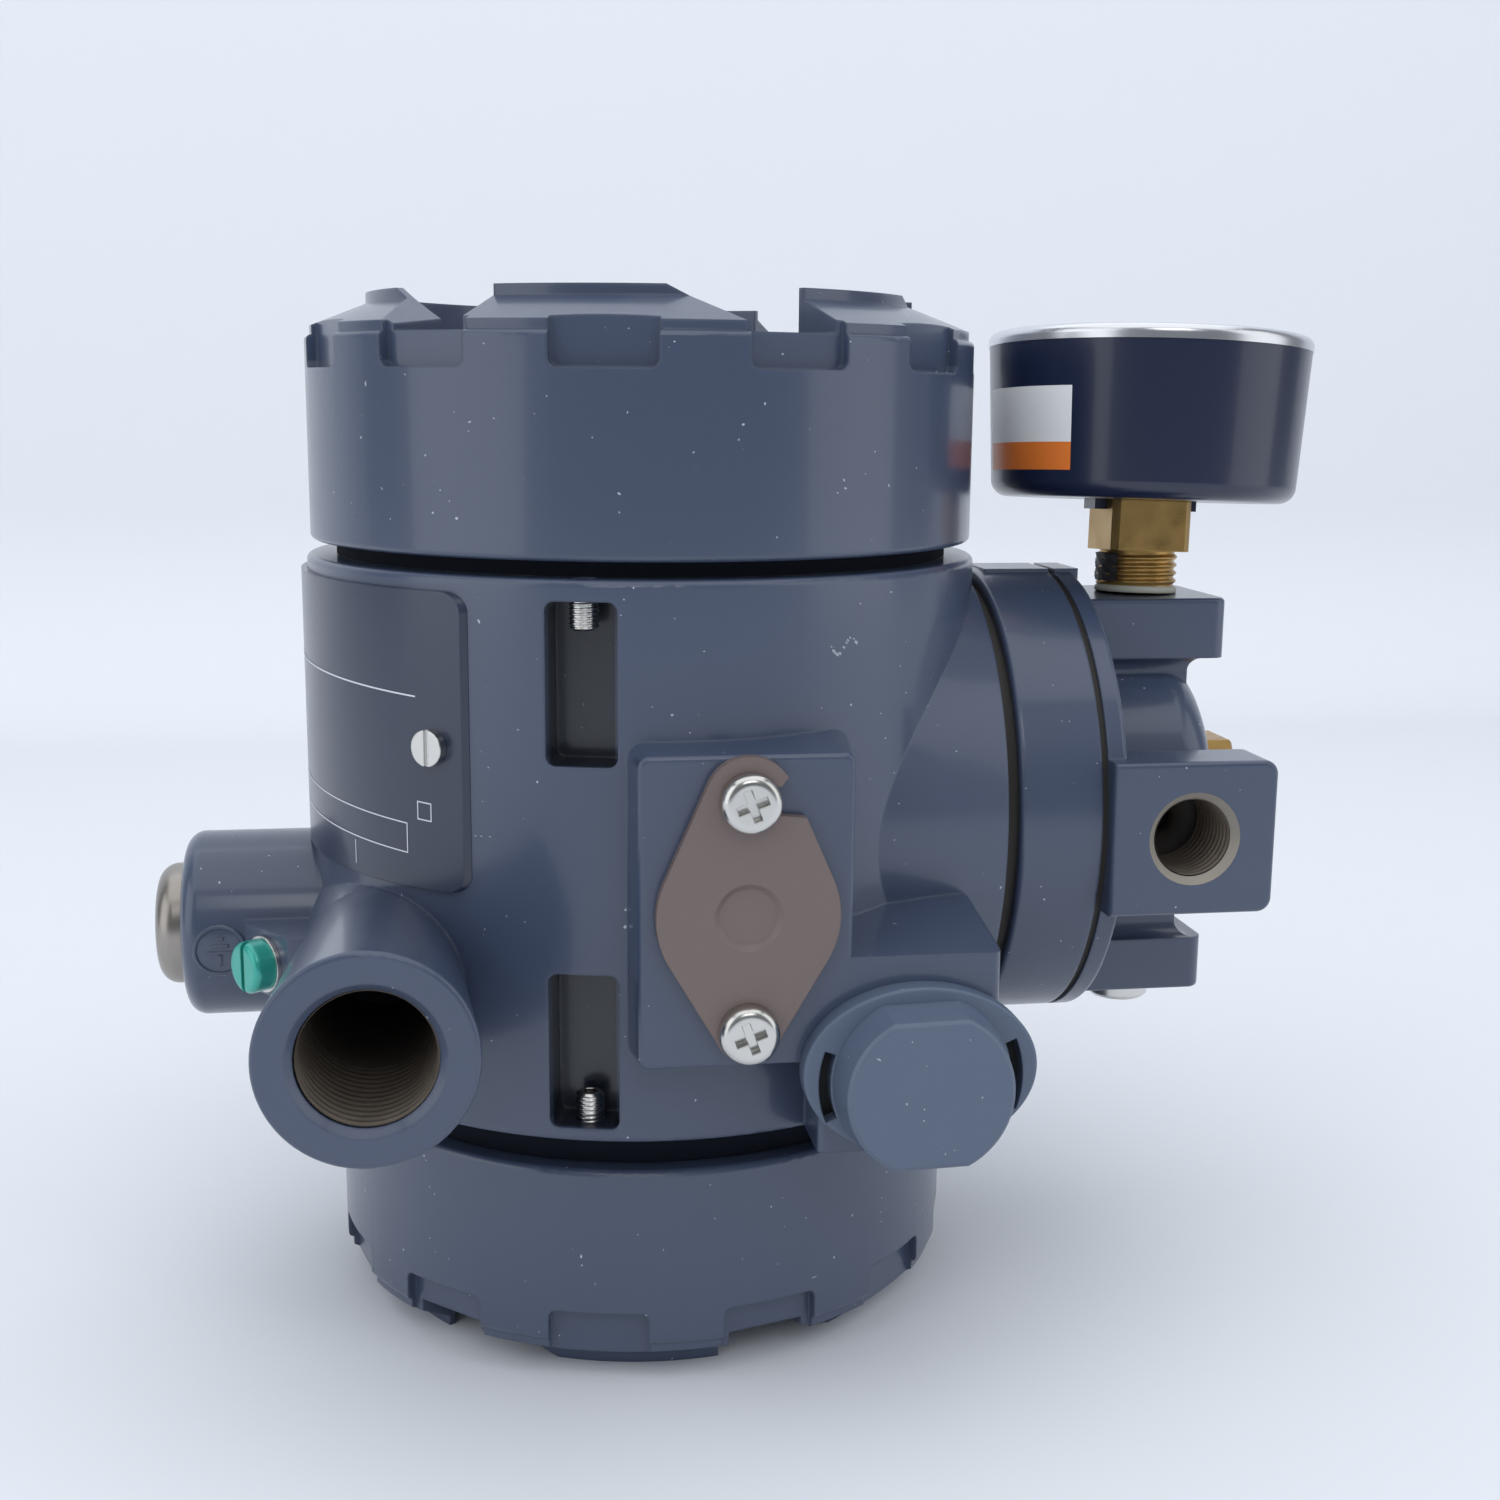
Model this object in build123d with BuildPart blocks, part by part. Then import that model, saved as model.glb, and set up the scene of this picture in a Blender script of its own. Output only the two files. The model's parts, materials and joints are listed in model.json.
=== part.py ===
from build123d import *
import os
from math import cos, pi, radians, sin

# Electro-pneumatic transducer. Millimetres, +Z up. The origin is on the housing's axis,
# in the plane that the lower cap stands on. The side flange points to +X, the filter to -Y.

# Housing casting
body_radius = 57.0
body_height = 86.0
body_edge = 1.0
upper_gap = 2.5
lower_gap = 5.9
upper_neck_radius = 52.0
lower_neck_radius = 50.0
neck_engagement = 13.0
compartment_radius = 45.0
wall_bottom_above_body = 38.0
wall_thickness = 8.0

# Caps
upper_cap_radius = 56.3
lower_cap_radius = 53.9
upper_cap_height = 34.5
lower_cap_height = 30.7
cap_top_thickness = 9.0
cap_edge = 0.9
crown_rise = 5.4
crown_floor_drop = 1.5
lug_count = 6
lug_angle = 45.6
lug_turn = -11.3
lower_lug_turn = 24.7
lug_inner_radius = 45.0
plateau_radius = 46.2
plateau_riser = 1.7
ramp_angle = 12.8
ramp_length = 14.0
centre_boss_radius = 13.0
notch_width = 16.0
notch_height = 6.8
notch_depth = 2.4
notch_corner = 1.4
thread_pitch = 2.0
thread_turns = 5.0
cap_clearance = 0.1
cap_ring_section = 1.5
cap_ring_play = 0.1
cap_ring_rise = 1.5

# Lock screws and their pockets
pocket_azimuth = -14.8
pocket_width = 10.8
pocket_height = 24.4
pocket_depth = 8.0
pocket_corner = 1.5
pocket_web = 3.2
pocket_low_web = 2.2
lock_screw_radius = 2.0
lock_screw_length = 7.0
lock_screw_circle = 54.1
lower_lock_screw_circle = 52.1
lock_screw_show = 4.4
lock_screw_chamfer = 0.4
hex_key_flats = 2.0

# Conduit bosses and blanking plug
conduit_height = 23.4
conduit_boss_radius = 15.6
conduit_bore_radius = 9.9
conduit_chamfer_radius = 11.0
front_conduit_x = -45.5
front_conduit_reach = 80.0
front_boss_root_radius = 12.2
front_boss_root = -34.0
conduit_thread_length = 23.1
conduit_throat_radius = 9.2
front_conduit_throat_end = -12.0
left_conduit_reach = 79.0
left_conduit_drop = 1.8
left_boss_radius = 15.9
left_boss_edge = 3.0
conduit_plug_show = 4.9
conduit_plug_rim = 0.5
conduit_plug_edge = 3.2
conduit_key_depth = 8.0
conduit_plug_length = 16.0
conduit_key_flats = 9.5
boss_edge = 0.7

# Earth lug and screw
lug_height = 11.0
lug_drop = 3.1
lug_edge = 0.8
lug_outer_x = -68.0
lug_front_y = -27.0
lug_face_distance = 64.5
lug_face_azimuth = -53.13
earth_screw_radius = 2.4
earth_head_radius = 4.3
earth_head_height = 3.6
earth_head_edge = 1.1
earth_slot_width = 1.0
earth_slot_depth = 1.5
earth_washer_radius = 4.7
earth_washer_thickness = 0.9
earth_screw_length = 9.0

# Filter pad, filter and its cover
pad_left = -7.0
pad_right = 24.8
pad_reach = 64.0
pad_bottom_above_body = 14.5
pad_height = 46.9
pad_edge = 0.8
pad_corner = 1.6
pad_draft = 7.0
filter_drop = 0.25
filter_screw_spacing = 34.6
filter_screw_radius = 1.75
filter_screw_length = 9.0
filter_head_radius = 4.5
filter_head_height = 2.9
filter_head_edge = 1.5
filter_recess_length = 4.8
filter_recess_width = 1.3
filter_recess_depth = 1.6
filter_recess_turn = 20.0
filter_cover_thickness = 2.1
filter_cover_radius = 13.6
filter_cover_top_radius = 6.6
filter_cover_low_radius = 4.8
filter_hook_half_slot = 2.15
filter_hook_neck = 4.6
filter_hook_mouth = 5.4
filter_hook_rise = 3.4
filter_hook_fall = 2.6
filter_hook_end = 9.0
filter_dimple_radius = 5.1
filter_dimple_floor_radius = 4.2
filter_dimple_depth = 0.7
filter_cavity_radius = 7.0
filter_cavity_depth = 13.0
filter_ring_radius = 9.6
filter_ring_section = 0.9
filter_play = 0.05
filter_element_gap = 0.3

# Vent
vent_x = 34.9
vent_above_body = 12.2
vent_block_left = 20.0
vent_block_right = 47.8
vent_block_top = 30.5
vent_block_rise = 3.3
vent_block_top_depth = 20.0
vent_block_edge = 1.4
vent_base_radius = 17.9
vent_base_half_height = 13.0
vent_base_lift = 1.4
vent_base_thickness = 3.6
vent_cap_radius = 13.5
vent_cap_flat = 12.2
vent_cap_draft = 8.0
vent_cap_height = 6.8
vent_cap_edge = 0.5
vent_cap_hollow = 3.0
vent_base_edge = 0.5
vent_lip = 2.0
vent_tilt = -1.5
vent_slot_inner = 13.8
vent_slot_outer = 15.6
vent_slot_angle = 42.0
vent_slot_depth = 2.6
vent_passage_radius = 7.0
vent_screen_thickness = 0.8

# Nameplate
plate_thickness = 1.0
plate_right_azimuth = -33.4
plate_left_azimuth = -112.0
plate_top_below_body = 2.4
plate_clearance = 0.2
plate_corner = 3.0
plate_screw_radius = 1.4
plate_screw_head_radius = 2.8
plate_screw_head_height = 1.6
plate_screw_length = 5.5
plate_screw_drop = 25.9
plate_screw_inset = 5.3
plate_hole_depth = 10.0

# Back mounting pad
back_pad_width = 48.0
back_pad_height = 34.0
back_pad_reach = 60.0
back_hole_radius = 3.4
back_hole_depth = 14.0
back_hole_spacing = 35.0

# Side flange, relay and side cover
flange_height = 42.6
side_boss_face = 55.1
side_boss_root = 30.0
side_boss_radius = 41.0
side_boss_root_radius = 47.6
flange_gasket_radius = 38.0
flange_gasket_thickness = 2.5
relay_radius = 40.0
relay_length = 13.7
relay_bore_radius = 26.0
relay_bore_depth = 7.4
relay_tab_width = 12.0
relay_tab_rise = 0.2
relay_tab_start = 2.1
relay_tab_overhang = 1.0
relay_tab_root = 3.0
relay_edge = 0.8
signal_chamber_depth = 4.0
cover_gasket_radius = 39.4
cover_gasket_thickness = 1.1
cover_plate_thickness = 3.4
side_screw_circle = 34.0
side_screw_radius = 2.5
side_screw_head_radius = 4.3
side_screw_head_height = 2.0
side_screw_grip = 11.0
side_screw_key_flats = 3.0
side_screw_key_depth = 2.0
diaphragm_radius = 31.0
diaphragm_thickness = 1.5
relay_piston_radius = 18.0
relay_piston_thickness = 3.4
relay_stroke = 1.0
relay_stem_radius = 3.0
valve_seat_radius = 6.0
valve_seat_bore = 4.0
valve_seat_length = 4.0
valve_plug_radius = 5.2
valve_plug_length = 3.0
valve_guide_radius = 2.0
valve_guide_length = 9.0
valve_cavity_radius = 9.0
valve_cavity_end = 88.0
relay_spring_radius = 10.0
relay_spring_wire = 0.5
valve_spring_radius = 4.0
valve_spring_wire = 0.45
rest_gap = 0.3
piston_setback = 1.0

hub_radius = 24.0
hub_end = 98.8
hub_edge = 7.0
port_x = 89.8
port_pad_width = 25.6
port_pad_corner = 2.4
port_pad_edge = 0.8
port_neck_width = 20.0
port_neck_end = 96.5
port_neck_fillet = 2.5
side_pad_reach = 42.0
side_pad_thickness = 10.6
side_pad_end = 100.4
side_pad_drop = 0.9
top_pad_reach = 35.4
top_pad_thickness = 10.6
top_pad_end = 102.5
bottom_pad_reach = 36.1
bottom_pad_thickness = 9.6
bottom_pad_end = 101.1
air_port_x = 86.4
air_port_radius = 6.6
air_port_chamfer_radius = 7.8
air_port_depth = 16.0
plug_thread_radius = 6.0
port_passage_radius = 2.5
plug_thread_length = 10.0
plug_square = 8.0
plug_square_height = 4.7
plug_head_radius = 5.6
plug_head_height = 4.4
plug_clearance = 0.05
hub_plug_flats = 17.0
hub_plug_height = 9.2
hub_plug_edge = 0.6
hub_plug_thread_radius = 6.0
hub_plug_thread_length = 7.0

# Gauge
gauge_thread_radius = 6.65
gauge_thread_length = 11.5
gauge_thread_show = 7.5
gauge_lean_back = -3.0
gauge_lean_right = 1.8
gauge_square = 14.6
gauge_square_height = 9.0
gauge_square_edge = 1.2
gauge_neck_radius = 6.0
gauge_passage_radius = 1.5
gauge_thread_gap = 0.5
gauge_case_bottom_radius = 26.8
gauge_case_top_radius = 28.3
gauge_case_height = 26.3
gauge_case_wall = 1.3
gauge_case_edge = 3.0
gauge_collar_width = 19.0
gauge_collar_depth = 6.0
gauge_collar_height = 1.8
gauge_bezel_radius = 28.5
gauge_bezel_height = 2.6
gauge_bezel_edge = 1.6
gauge_bezel_lip = 25.4
gauge_lens_radius = 26.4
gauge_lens_thickness = 1.4
gauge_dial_radius = 26.0
gauge_dial_thickness = 0.6
gauge_dial_height = 19.5
gauge_ledge_width = 1.5
gauge_block_height = 9.3
gauge_tube_radius = 21.0
gauge_tube_half_height = 3.6
gauge_tube_half_width = 1.2
gauge_tube_sweep = 250.0
gauge_plate_length = 26.0
gauge_plate_width = 11.0
gauge_plate_thickness = 1.2
gauge_plate_gap = 5.4
gauge_pillar_radius = 1.3
gauge_pillar_inset = 1.5
gauge_shaft_radius = 1.0
gauge_shaft_clearance = 0.05
gauge_pinion_radius = 1.5
gauge_sector_radius = 9.3
gauge_gear_gap = 0.2
gauge_gear_thickness = 2.0
gauge_gear_lift = 0.5
gauge_end_play = 0.1
gauge_sector_hub = 2.2
gauge_sector_rest = -23.0
gauge_sector_angle = 76.0
gauge_pointer_reach = 19.5
gauge_pointer_tail = 7.0
gauge_pointer_width = 1.6
gauge_pointer_thickness = 0.7
gauge_pointer_hub = 2.4
gauge_pointer_lift = 0.5
gauge_pointer_start = -135.0

# Converter module
module_radius = 43.0
module_height = 34.0
module_floor = 10.0
module_wall = 3.5
module_cover_thickness = 4.0
module_ring_section = 1.8
module_ring_height = 5.0
module_ring_clearance = 0.05
module_screw_circle = 34.5
module_screw_radius = 2.0
module_screw_head_radius = 3.6
module_screw_head_height = 3.0
module_screw_grip = 5.0
module_post_radius = 4.4
fit_clearance = 0.05
board_radius = 36.0
board_thickness = 1.6
board_standoff = 2.9
board_standoff_radius = 2.0
board_standoff_circle = 26.0
nozzle_x = 22.0
nozzle_radius = 2.5
nozzle_tip_radius = 1.1
nozzle_orifice_radius = 0.4
nozzle_gap = 0.4
nozzle_seat = 3.0
nozzle_cone = 2.0
nozzle_clearance = 0.02
yoke_left = -34.0
yoke_right = 12.0
yoke_half_width = 11.0
yoke_plate_thickness = 3.0
yoke_ear_thickness = 3.0
yoke_ear_length = 7.0
yoke_pole_left = 5.0
yoke_pole_height = 5.0
magnet_length = 6.0
magnet_height = 5.0
coil_left = -14.0
coil_length = 14.0
coil_half_width = 9.0
coil_height = 16.0
coil_flange = 1.5
coil_wall = 1.2
armature_rise = 11.0
armature_thickness = 1.6
armature_half_width = 4.0
armature_right = 25.0
armature_play = 1.3
pivot_x = -29.0
pivot_radius = 1.0
zero_x = 16.0
zero_screw_radius = 2.5
zero_screw_show = 1.5
zero_spring_radius = 1.9
zero_spring_wire = 0.3
span_x = -14.0
span_y = 18.0
span_screw_radius = 2.0
slot_width = 0.8
slot_depth = 1.0

# Wall feedthrough and terminal block
feedthrough_radius = 7.0
feedthrough_recess_radius = 6.5
feedthrough_recess_depth = 6.0
pin_radius = 0.8
pin_circle = 3.6
pin_count = 4
pin_stand_out = 4.0
terminal_length = 44.0
terminal_width = 28.0
terminal_height = 16.0
terminal_count = 4
terminal_pitch = 10.6
terminal_row_y = -7.5
terminal_screw_radius = 1.6
terminal_screw_length = 9.0
terminal_head_radius = 3.4
terminal_head_height = 2.6
terminal_clamp_size = 8.4
terminal_clamp_thickness = 1.0

# Heights and places that follow from the sizes above
lower_rim = crown_rise
lower_cap_top = lower_rim + lower_cap_height
body_bottom = lower_cap_top + lower_gap
body_top = body_bottom + body_height
upper_cap_bottom = body_top + upper_gap
upper_rim = upper_cap_bottom + upper_cap_height
neck_top = upper_cap_bottom + neck_engagement
neck_bottom = lower_cap_top - neck_engagement
wall_bottom = body_bottom + wall_bottom_above_body
wall_top = wall_bottom + wall_thickness
conduit_z = body_bottom + conduit_height
left_conduit_z = conduit_z - left_conduit_drop
earth_z = conduit_z - lug_drop
flange_z = body_bottom + flange_height
pad_bottom = body_bottom + pad_bottom_above_body
pad_top = pad_bottom + pad_height
pad_x = (pad_left + pad_right) / 2
filter_z = pad_bottom + pad_height / 2 - filter_drop
vent_z = body_bottom + vent_above_body
relay_face = side_boss_face + flange_gasket_thickness
relay_end = relay_face + relay_length
cover_face = relay_end + cover_gasket_thickness
cover_end = cover_face + cover_plate_thickness
gauge_block_top = flange_z + top_pad_reach
bottom_face = flange_z - bottom_pad_reach
air_port_z = flange_z - side_pad_drop
gauge_square_bottom = gauge_block_top + gauge_thread_show
gauge_case_bottom = gauge_square_bottom + gauge_square_height
gauge_case_top = gauge_case_bottom + gauge_case_height
module_bottom = wall_top
module_floor_top = module_bottom + module_floor
module_top = module_bottom + module_height
cover_top = module_top + module_cover_thickness
board_top = module_top - board_standoff
armature_bottom = module_floor_top + armature_rise
armature_top = armature_bottom + armature_thickness
pivot_z = armature_bottom + armature_thickness / 2
yoke_top = module_floor_top + yoke_plate_thickness
terminal_bottom = wall_bottom - terminal_height
pocket_low_z = body_bottom + pocket_low_web + pocket_height / 2
pocket_high_z = body_top - pocket_web - pocket_height / 2
plate_bottom = left_conduit_z + left_boss_radius + plate_clearance
plate_height = body_top - plate_top_below_body - plate_bottom

LOW = (Align.CENTER, Align.CENTER, Align.MIN)


def around(radius, azimuth):
    """X and Y of a point on a circle; azimuth 0 is the front (-Y), 90 is +X."""
    return radius * sin(radians(azimuth)), -radius * cos(radians(azimuth))


def upright(radius, bottom, top, x=0.0, y=0.0, mode=Mode.ADD):
    """Round bar along Z between two heights."""
    with Locations((x, y, bottom)):
        Cylinder(radius, top - bottom, align=LOW, mode=mode)


def sideways(radius, start, end, y, z, mode=Mode.ADD):
    """Round bar along X between two x positions."""
    with Locations(Plane(origin=(start, y, z), x_dir=(0, 1, 0), z_dir=(1, 0, 0))):
        Cylinder(radius, end - start, align=LOW, mode=mode)


def endways(radius, front, back, x, z, mode=Mode.ADD):
    """Round bar along Y between two y positions."""
    with Locations(Plane(origin=(x, front, z), x_dir=(1, 0, 0), z_dir=(0, 1, 0))):
        Cylinder(radius, back - front, align=LOW, mode=mode)


def block(x0, x1, y0, y1, z0, z1, mode=Mode.ADD):
    """Box between two corners."""
    with Locations(((x0 + x1) / 2, (y0 + y1) / 2, (z0 + z1) / 2)):
        Box(x1 - x0, y1 - y0, z1 - z0, mode=mode)


def finish(builder, name, place=Location()):
    """Put a finished piece in its place, label it and write it."""
    piece = place * builder.part
    piece.label = name
    export_step(piece, "parts/" + name + ".step")


def coil_spring(origin, z_dir, length, radius, wire, turns):
    """Open-wound helical spring that starts at origin and runs along z_dir."""
    with BuildPart() as spring:
        with BuildLine():
            path = Helix(pitch=(length - 2 * wire) / turns, height=length - 2 * wire, radius=radius)
        with BuildSketch(Plane(origin=path @ 0, z_dir=path % 0)):
            Circle(wire)
        sweep()
    frame = Plane(origin=origin, z_dir=z_dir)
    return frame * Pos(0, 0, wire) * spring.part


def cap_lug(outer_radius, rim):
    """One raised lug of a cap's crown, from azimuth angle 0 of +X, steep at one side."""
    floor = rim - crown_floor_drop
    crown = rim + crown_rise
    with BuildPart() as lug:
        with BuildSketch(Plane.XZ):
            Polygon(
                (lug_inner_radius, floor - 1),
                (lug_inner_radius, crown),
                (plateau_radius, crown),
                (plateau_radius, crown - plateau_riser),
                (outer_radius - cap_edge, rim),
                (outer_radius - cap_edge, floor - 1),
                align=None,
            )
        revolve(axis=Axis.Z, revolution_arc=lug_angle)
        turn = radians(lug_angle - ramp_angle)
        side = Plane(origin=(0, 0, 0), x_dir=(-sin(turn), cos(turn), 0), z_dir=(cos(turn), sin(turn), 0))
        with BuildSketch(side):
            Polygon(
                (0, crown),
                (0, crown + 2),
                (outer_radius, crown + 2),
                (outer_radius, floor),
                (ramp_length, floor),
                align=None,
            )
        extrude(amount=outer_radius + 2, mode=Mode.SUBTRACT)
    return lug.part


def screw_cap(outer_radius, rim, bore_radius):
    """Cap with its open rim at z 0 and its crown up."""
    floor = rim - crown_floor_drop
    lug = cap_lug(outer_radius, rim)
    with BuildPart() as notch:
        with BuildSketch(Plane.YZ.offset(outer_radius - notch_depth)):
            with Locations((0, rim + notch_height / 2)):
                RectangleRounded(notch_width, 3 * notch_height, notch_corner)
        extrude(amount=2 * notch_depth)
    with BuildPart() as cap:
        upright(outer_radius, 0, floor)
        rim_edges = cap.edges().filter_by(GeomType.CIRCLE)
        fillet(rim_edges, cap_edge)
        with PolarLocations(0, lug_count, start_angle=-90 + lug_turn - lug_angle / 2):
            add(lug)
        with PolarLocations(0, 2 * lug_count, start_angle=-90 + lug_turn):
            add(notch.part, mode=Mode.SUBTRACT)
        upright(bore_radius, 0, floor - cap_top_thickness, mode=Mode.SUBTRACT)
        seat = 2 * (cap_ring_section + cap_ring_play)
        upright(bore_radius + cap_ring_section + cap_ring_play, cap_ring_rise, cap_ring_rise + seat,
                mode=Mode.SUBTRACT)
    return cap.part


def cap_ring(radius, z):
    """O-ring that a cap carries in its bore."""
    with BuildPart() as ring:
        with Locations((0, 0, z)):
            Torus(radius, cap_ring_section / 2)
    return ring.part


os.makedirs("parts", exist_ok=True)

# Caps with their O-rings
upper_bore = upper_neck_radius + cap_clearance
lower_bore = lower_neck_radius + cap_clearance

with BuildPart() as upper_cap:
    with Locations((0, 0, upper_cap_bottom)):
        add(screw_cap(upper_cap_radius, upper_cap_height, upper_bore))
finish(upper_cap, "upper_cap")

with BuildPart() as lower_cap:
    with Locations(Location((0, 0, lower_cap_top), (180, 0, 0)) * Rotation(0, 0, lower_lug_turn)):
        add(screw_cap(lower_cap_radius, lower_cap_height, lower_bore))
    upright(centre_boss_radius, 0, crown_rise + crown_floor_drop)
finish(lower_cap, "lower_cap")

ring_lift = cap_ring_rise + cap_ring_section
upper_ring_radius = upper_bore + cap_ring_section / 2 + cap_ring_play / 2
lower_ring_radius = lower_bore + cap_ring_section / 2 + cap_ring_play / 2

with BuildPart() as upper_cap_oring:
    add(cap_ring(upper_ring_radius, upper_cap_bottom + ring_lift))
finish(upper_cap_oring, "upper_cap_oring")

with BuildPart() as lower_cap_oring:
    add(cap_ring(lower_ring_radius, lower_cap_top - ring_lift))
finish(lower_cap_oring, "lower_cap_oring")

# Housing: separate forms that are joined to the body before it is hollowed
with BuildPart() as side_boss:
    with Locations(Plane(origin=(side_boss_root, 0, flange_z), x_dir=(0, 1, 0), z_dir=(1, 0, 0))):
        Cone(side_boss_root_radius, side_boss_radius, side_boss_face - side_boss_root, align=LOW)
    block(0, 2 * body_radius, -body_radius, body_radius, body_bottom, body_top, mode=Mode.INTERSECT)

with BuildPart() as filter_pad:
    with BuildSketch(Plane(origin=(pad_x, -pad_reach, (pad_bottom + pad_top) / 2), x_dir=(1, 0, 0),
                           z_dir=(0, 1, 0))):
        RectangleRounded(pad_right - pad_left, pad_height, pad_corner)
    extrude(amount=pad_reach - body_radius / 2, taper=-pad_draft)
    fillet(filter_pad.edges().group_by(Axis.Y)[0], pad_edge)

with BuildPart() as vent_block:
    with BuildSketch(Plane.YZ.offset(vent_block_left)):
        Polygon(
            (-pad_reach, body_bottom),
            (-pad_reach, body_bottom + vent_block_top),
            (vent_block_top_depth - pad_reach, body_bottom + vent_block_top + vent_block_rise),
            (-body_radius / 2, body_bottom + vent_block_top + vent_block_rise),
            (-body_radius / 2, body_bottom),
            align=None,
        )
    extrude(amount=vent_block_right - vent_block_left)
    fillet(vent_block.edges().filter_by(Axis.Z), vent_block_edge)

with BuildPart() as earth_lug:
    with BuildSketch(Plane.XY.offset(earth_z - lug_height / 2)):
        slope_x, slope_y = around(1.0, lug_face_azimuth)
        outer_y = (lug_face_distance - slope_x * lug_outer_x) / slope_y
        front_x = (lug_face_distance - slope_y * lug_front_y) / slope_x
        Polygon(
            (front_conduit_x, 0),
            (lug_outer_x, 0),
            (lug_outer_x, outer_y),
            (front_x, lug_front_y),
            (front_conduit_x, lug_front_y),
            align=None,
        )
    extrude(amount=lug_height)
    fillet(earth_lug.edges().filter_by(Axis.Z).sort_by(Axis.X)[:2], lug_edge)

lug_face_x = (lug_outer_x + front_x) / 2
lug_face_y = (outer_y + lug_front_y) / 2
earth_axis = Plane(origin=(lug_face_x, lug_face_y, earth_z), x_dir=(0, 0, 1), z_dir=(slope_x, slope_y, 0))

with BuildPart() as bosses:
    with Locations(Plane(origin=(front_conduit_x, -front_conduit_reach, conduit_z), x_dir=(1, 0, 0),
                         z_dir=(0, 1, 0))):
        Cone(conduit_boss_radius, front_boss_root_radius, front_conduit_reach + front_boss_root, align=LOW)
    fillet(bosses.edges().group_by(Axis.Y)[0], boss_edge)
    endways(front_boss_root_radius, front_boss_root, 0, front_conduit_x, conduit_z)
    with BuildPart(mode=Mode.PRIVATE) as left_boss:
        sideways(left_boss_radius, -left_conduit_reach, front_conduit_x, 0, left_conduit_z)
        fillet(left_boss.edges().group_by(Axis.X)[0], left_boss_edge)
    add(left_boss.part)

with BuildPart() as pocket:
    with BuildSketch(Plane.XZ):
        RectangleRounded(pocket_width, pocket_height, pocket_corner)
    extrude(amount=2 * pocket_depth)

side_screw_points = [
    (side_screw_circle * cos(radians(turn)), flange_z + side_screw_circle * sin(radians(turn)))
    for turn in (45, 135, 225, 315)
]
module_screw_points = [around(module_screw_circle, turn) for turn in (90, 210, 330)]
filter_screw_low = filter_z - filter_screw_spacing / 2
filter_screw_high = filter_z + filter_screw_spacing / 2

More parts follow.
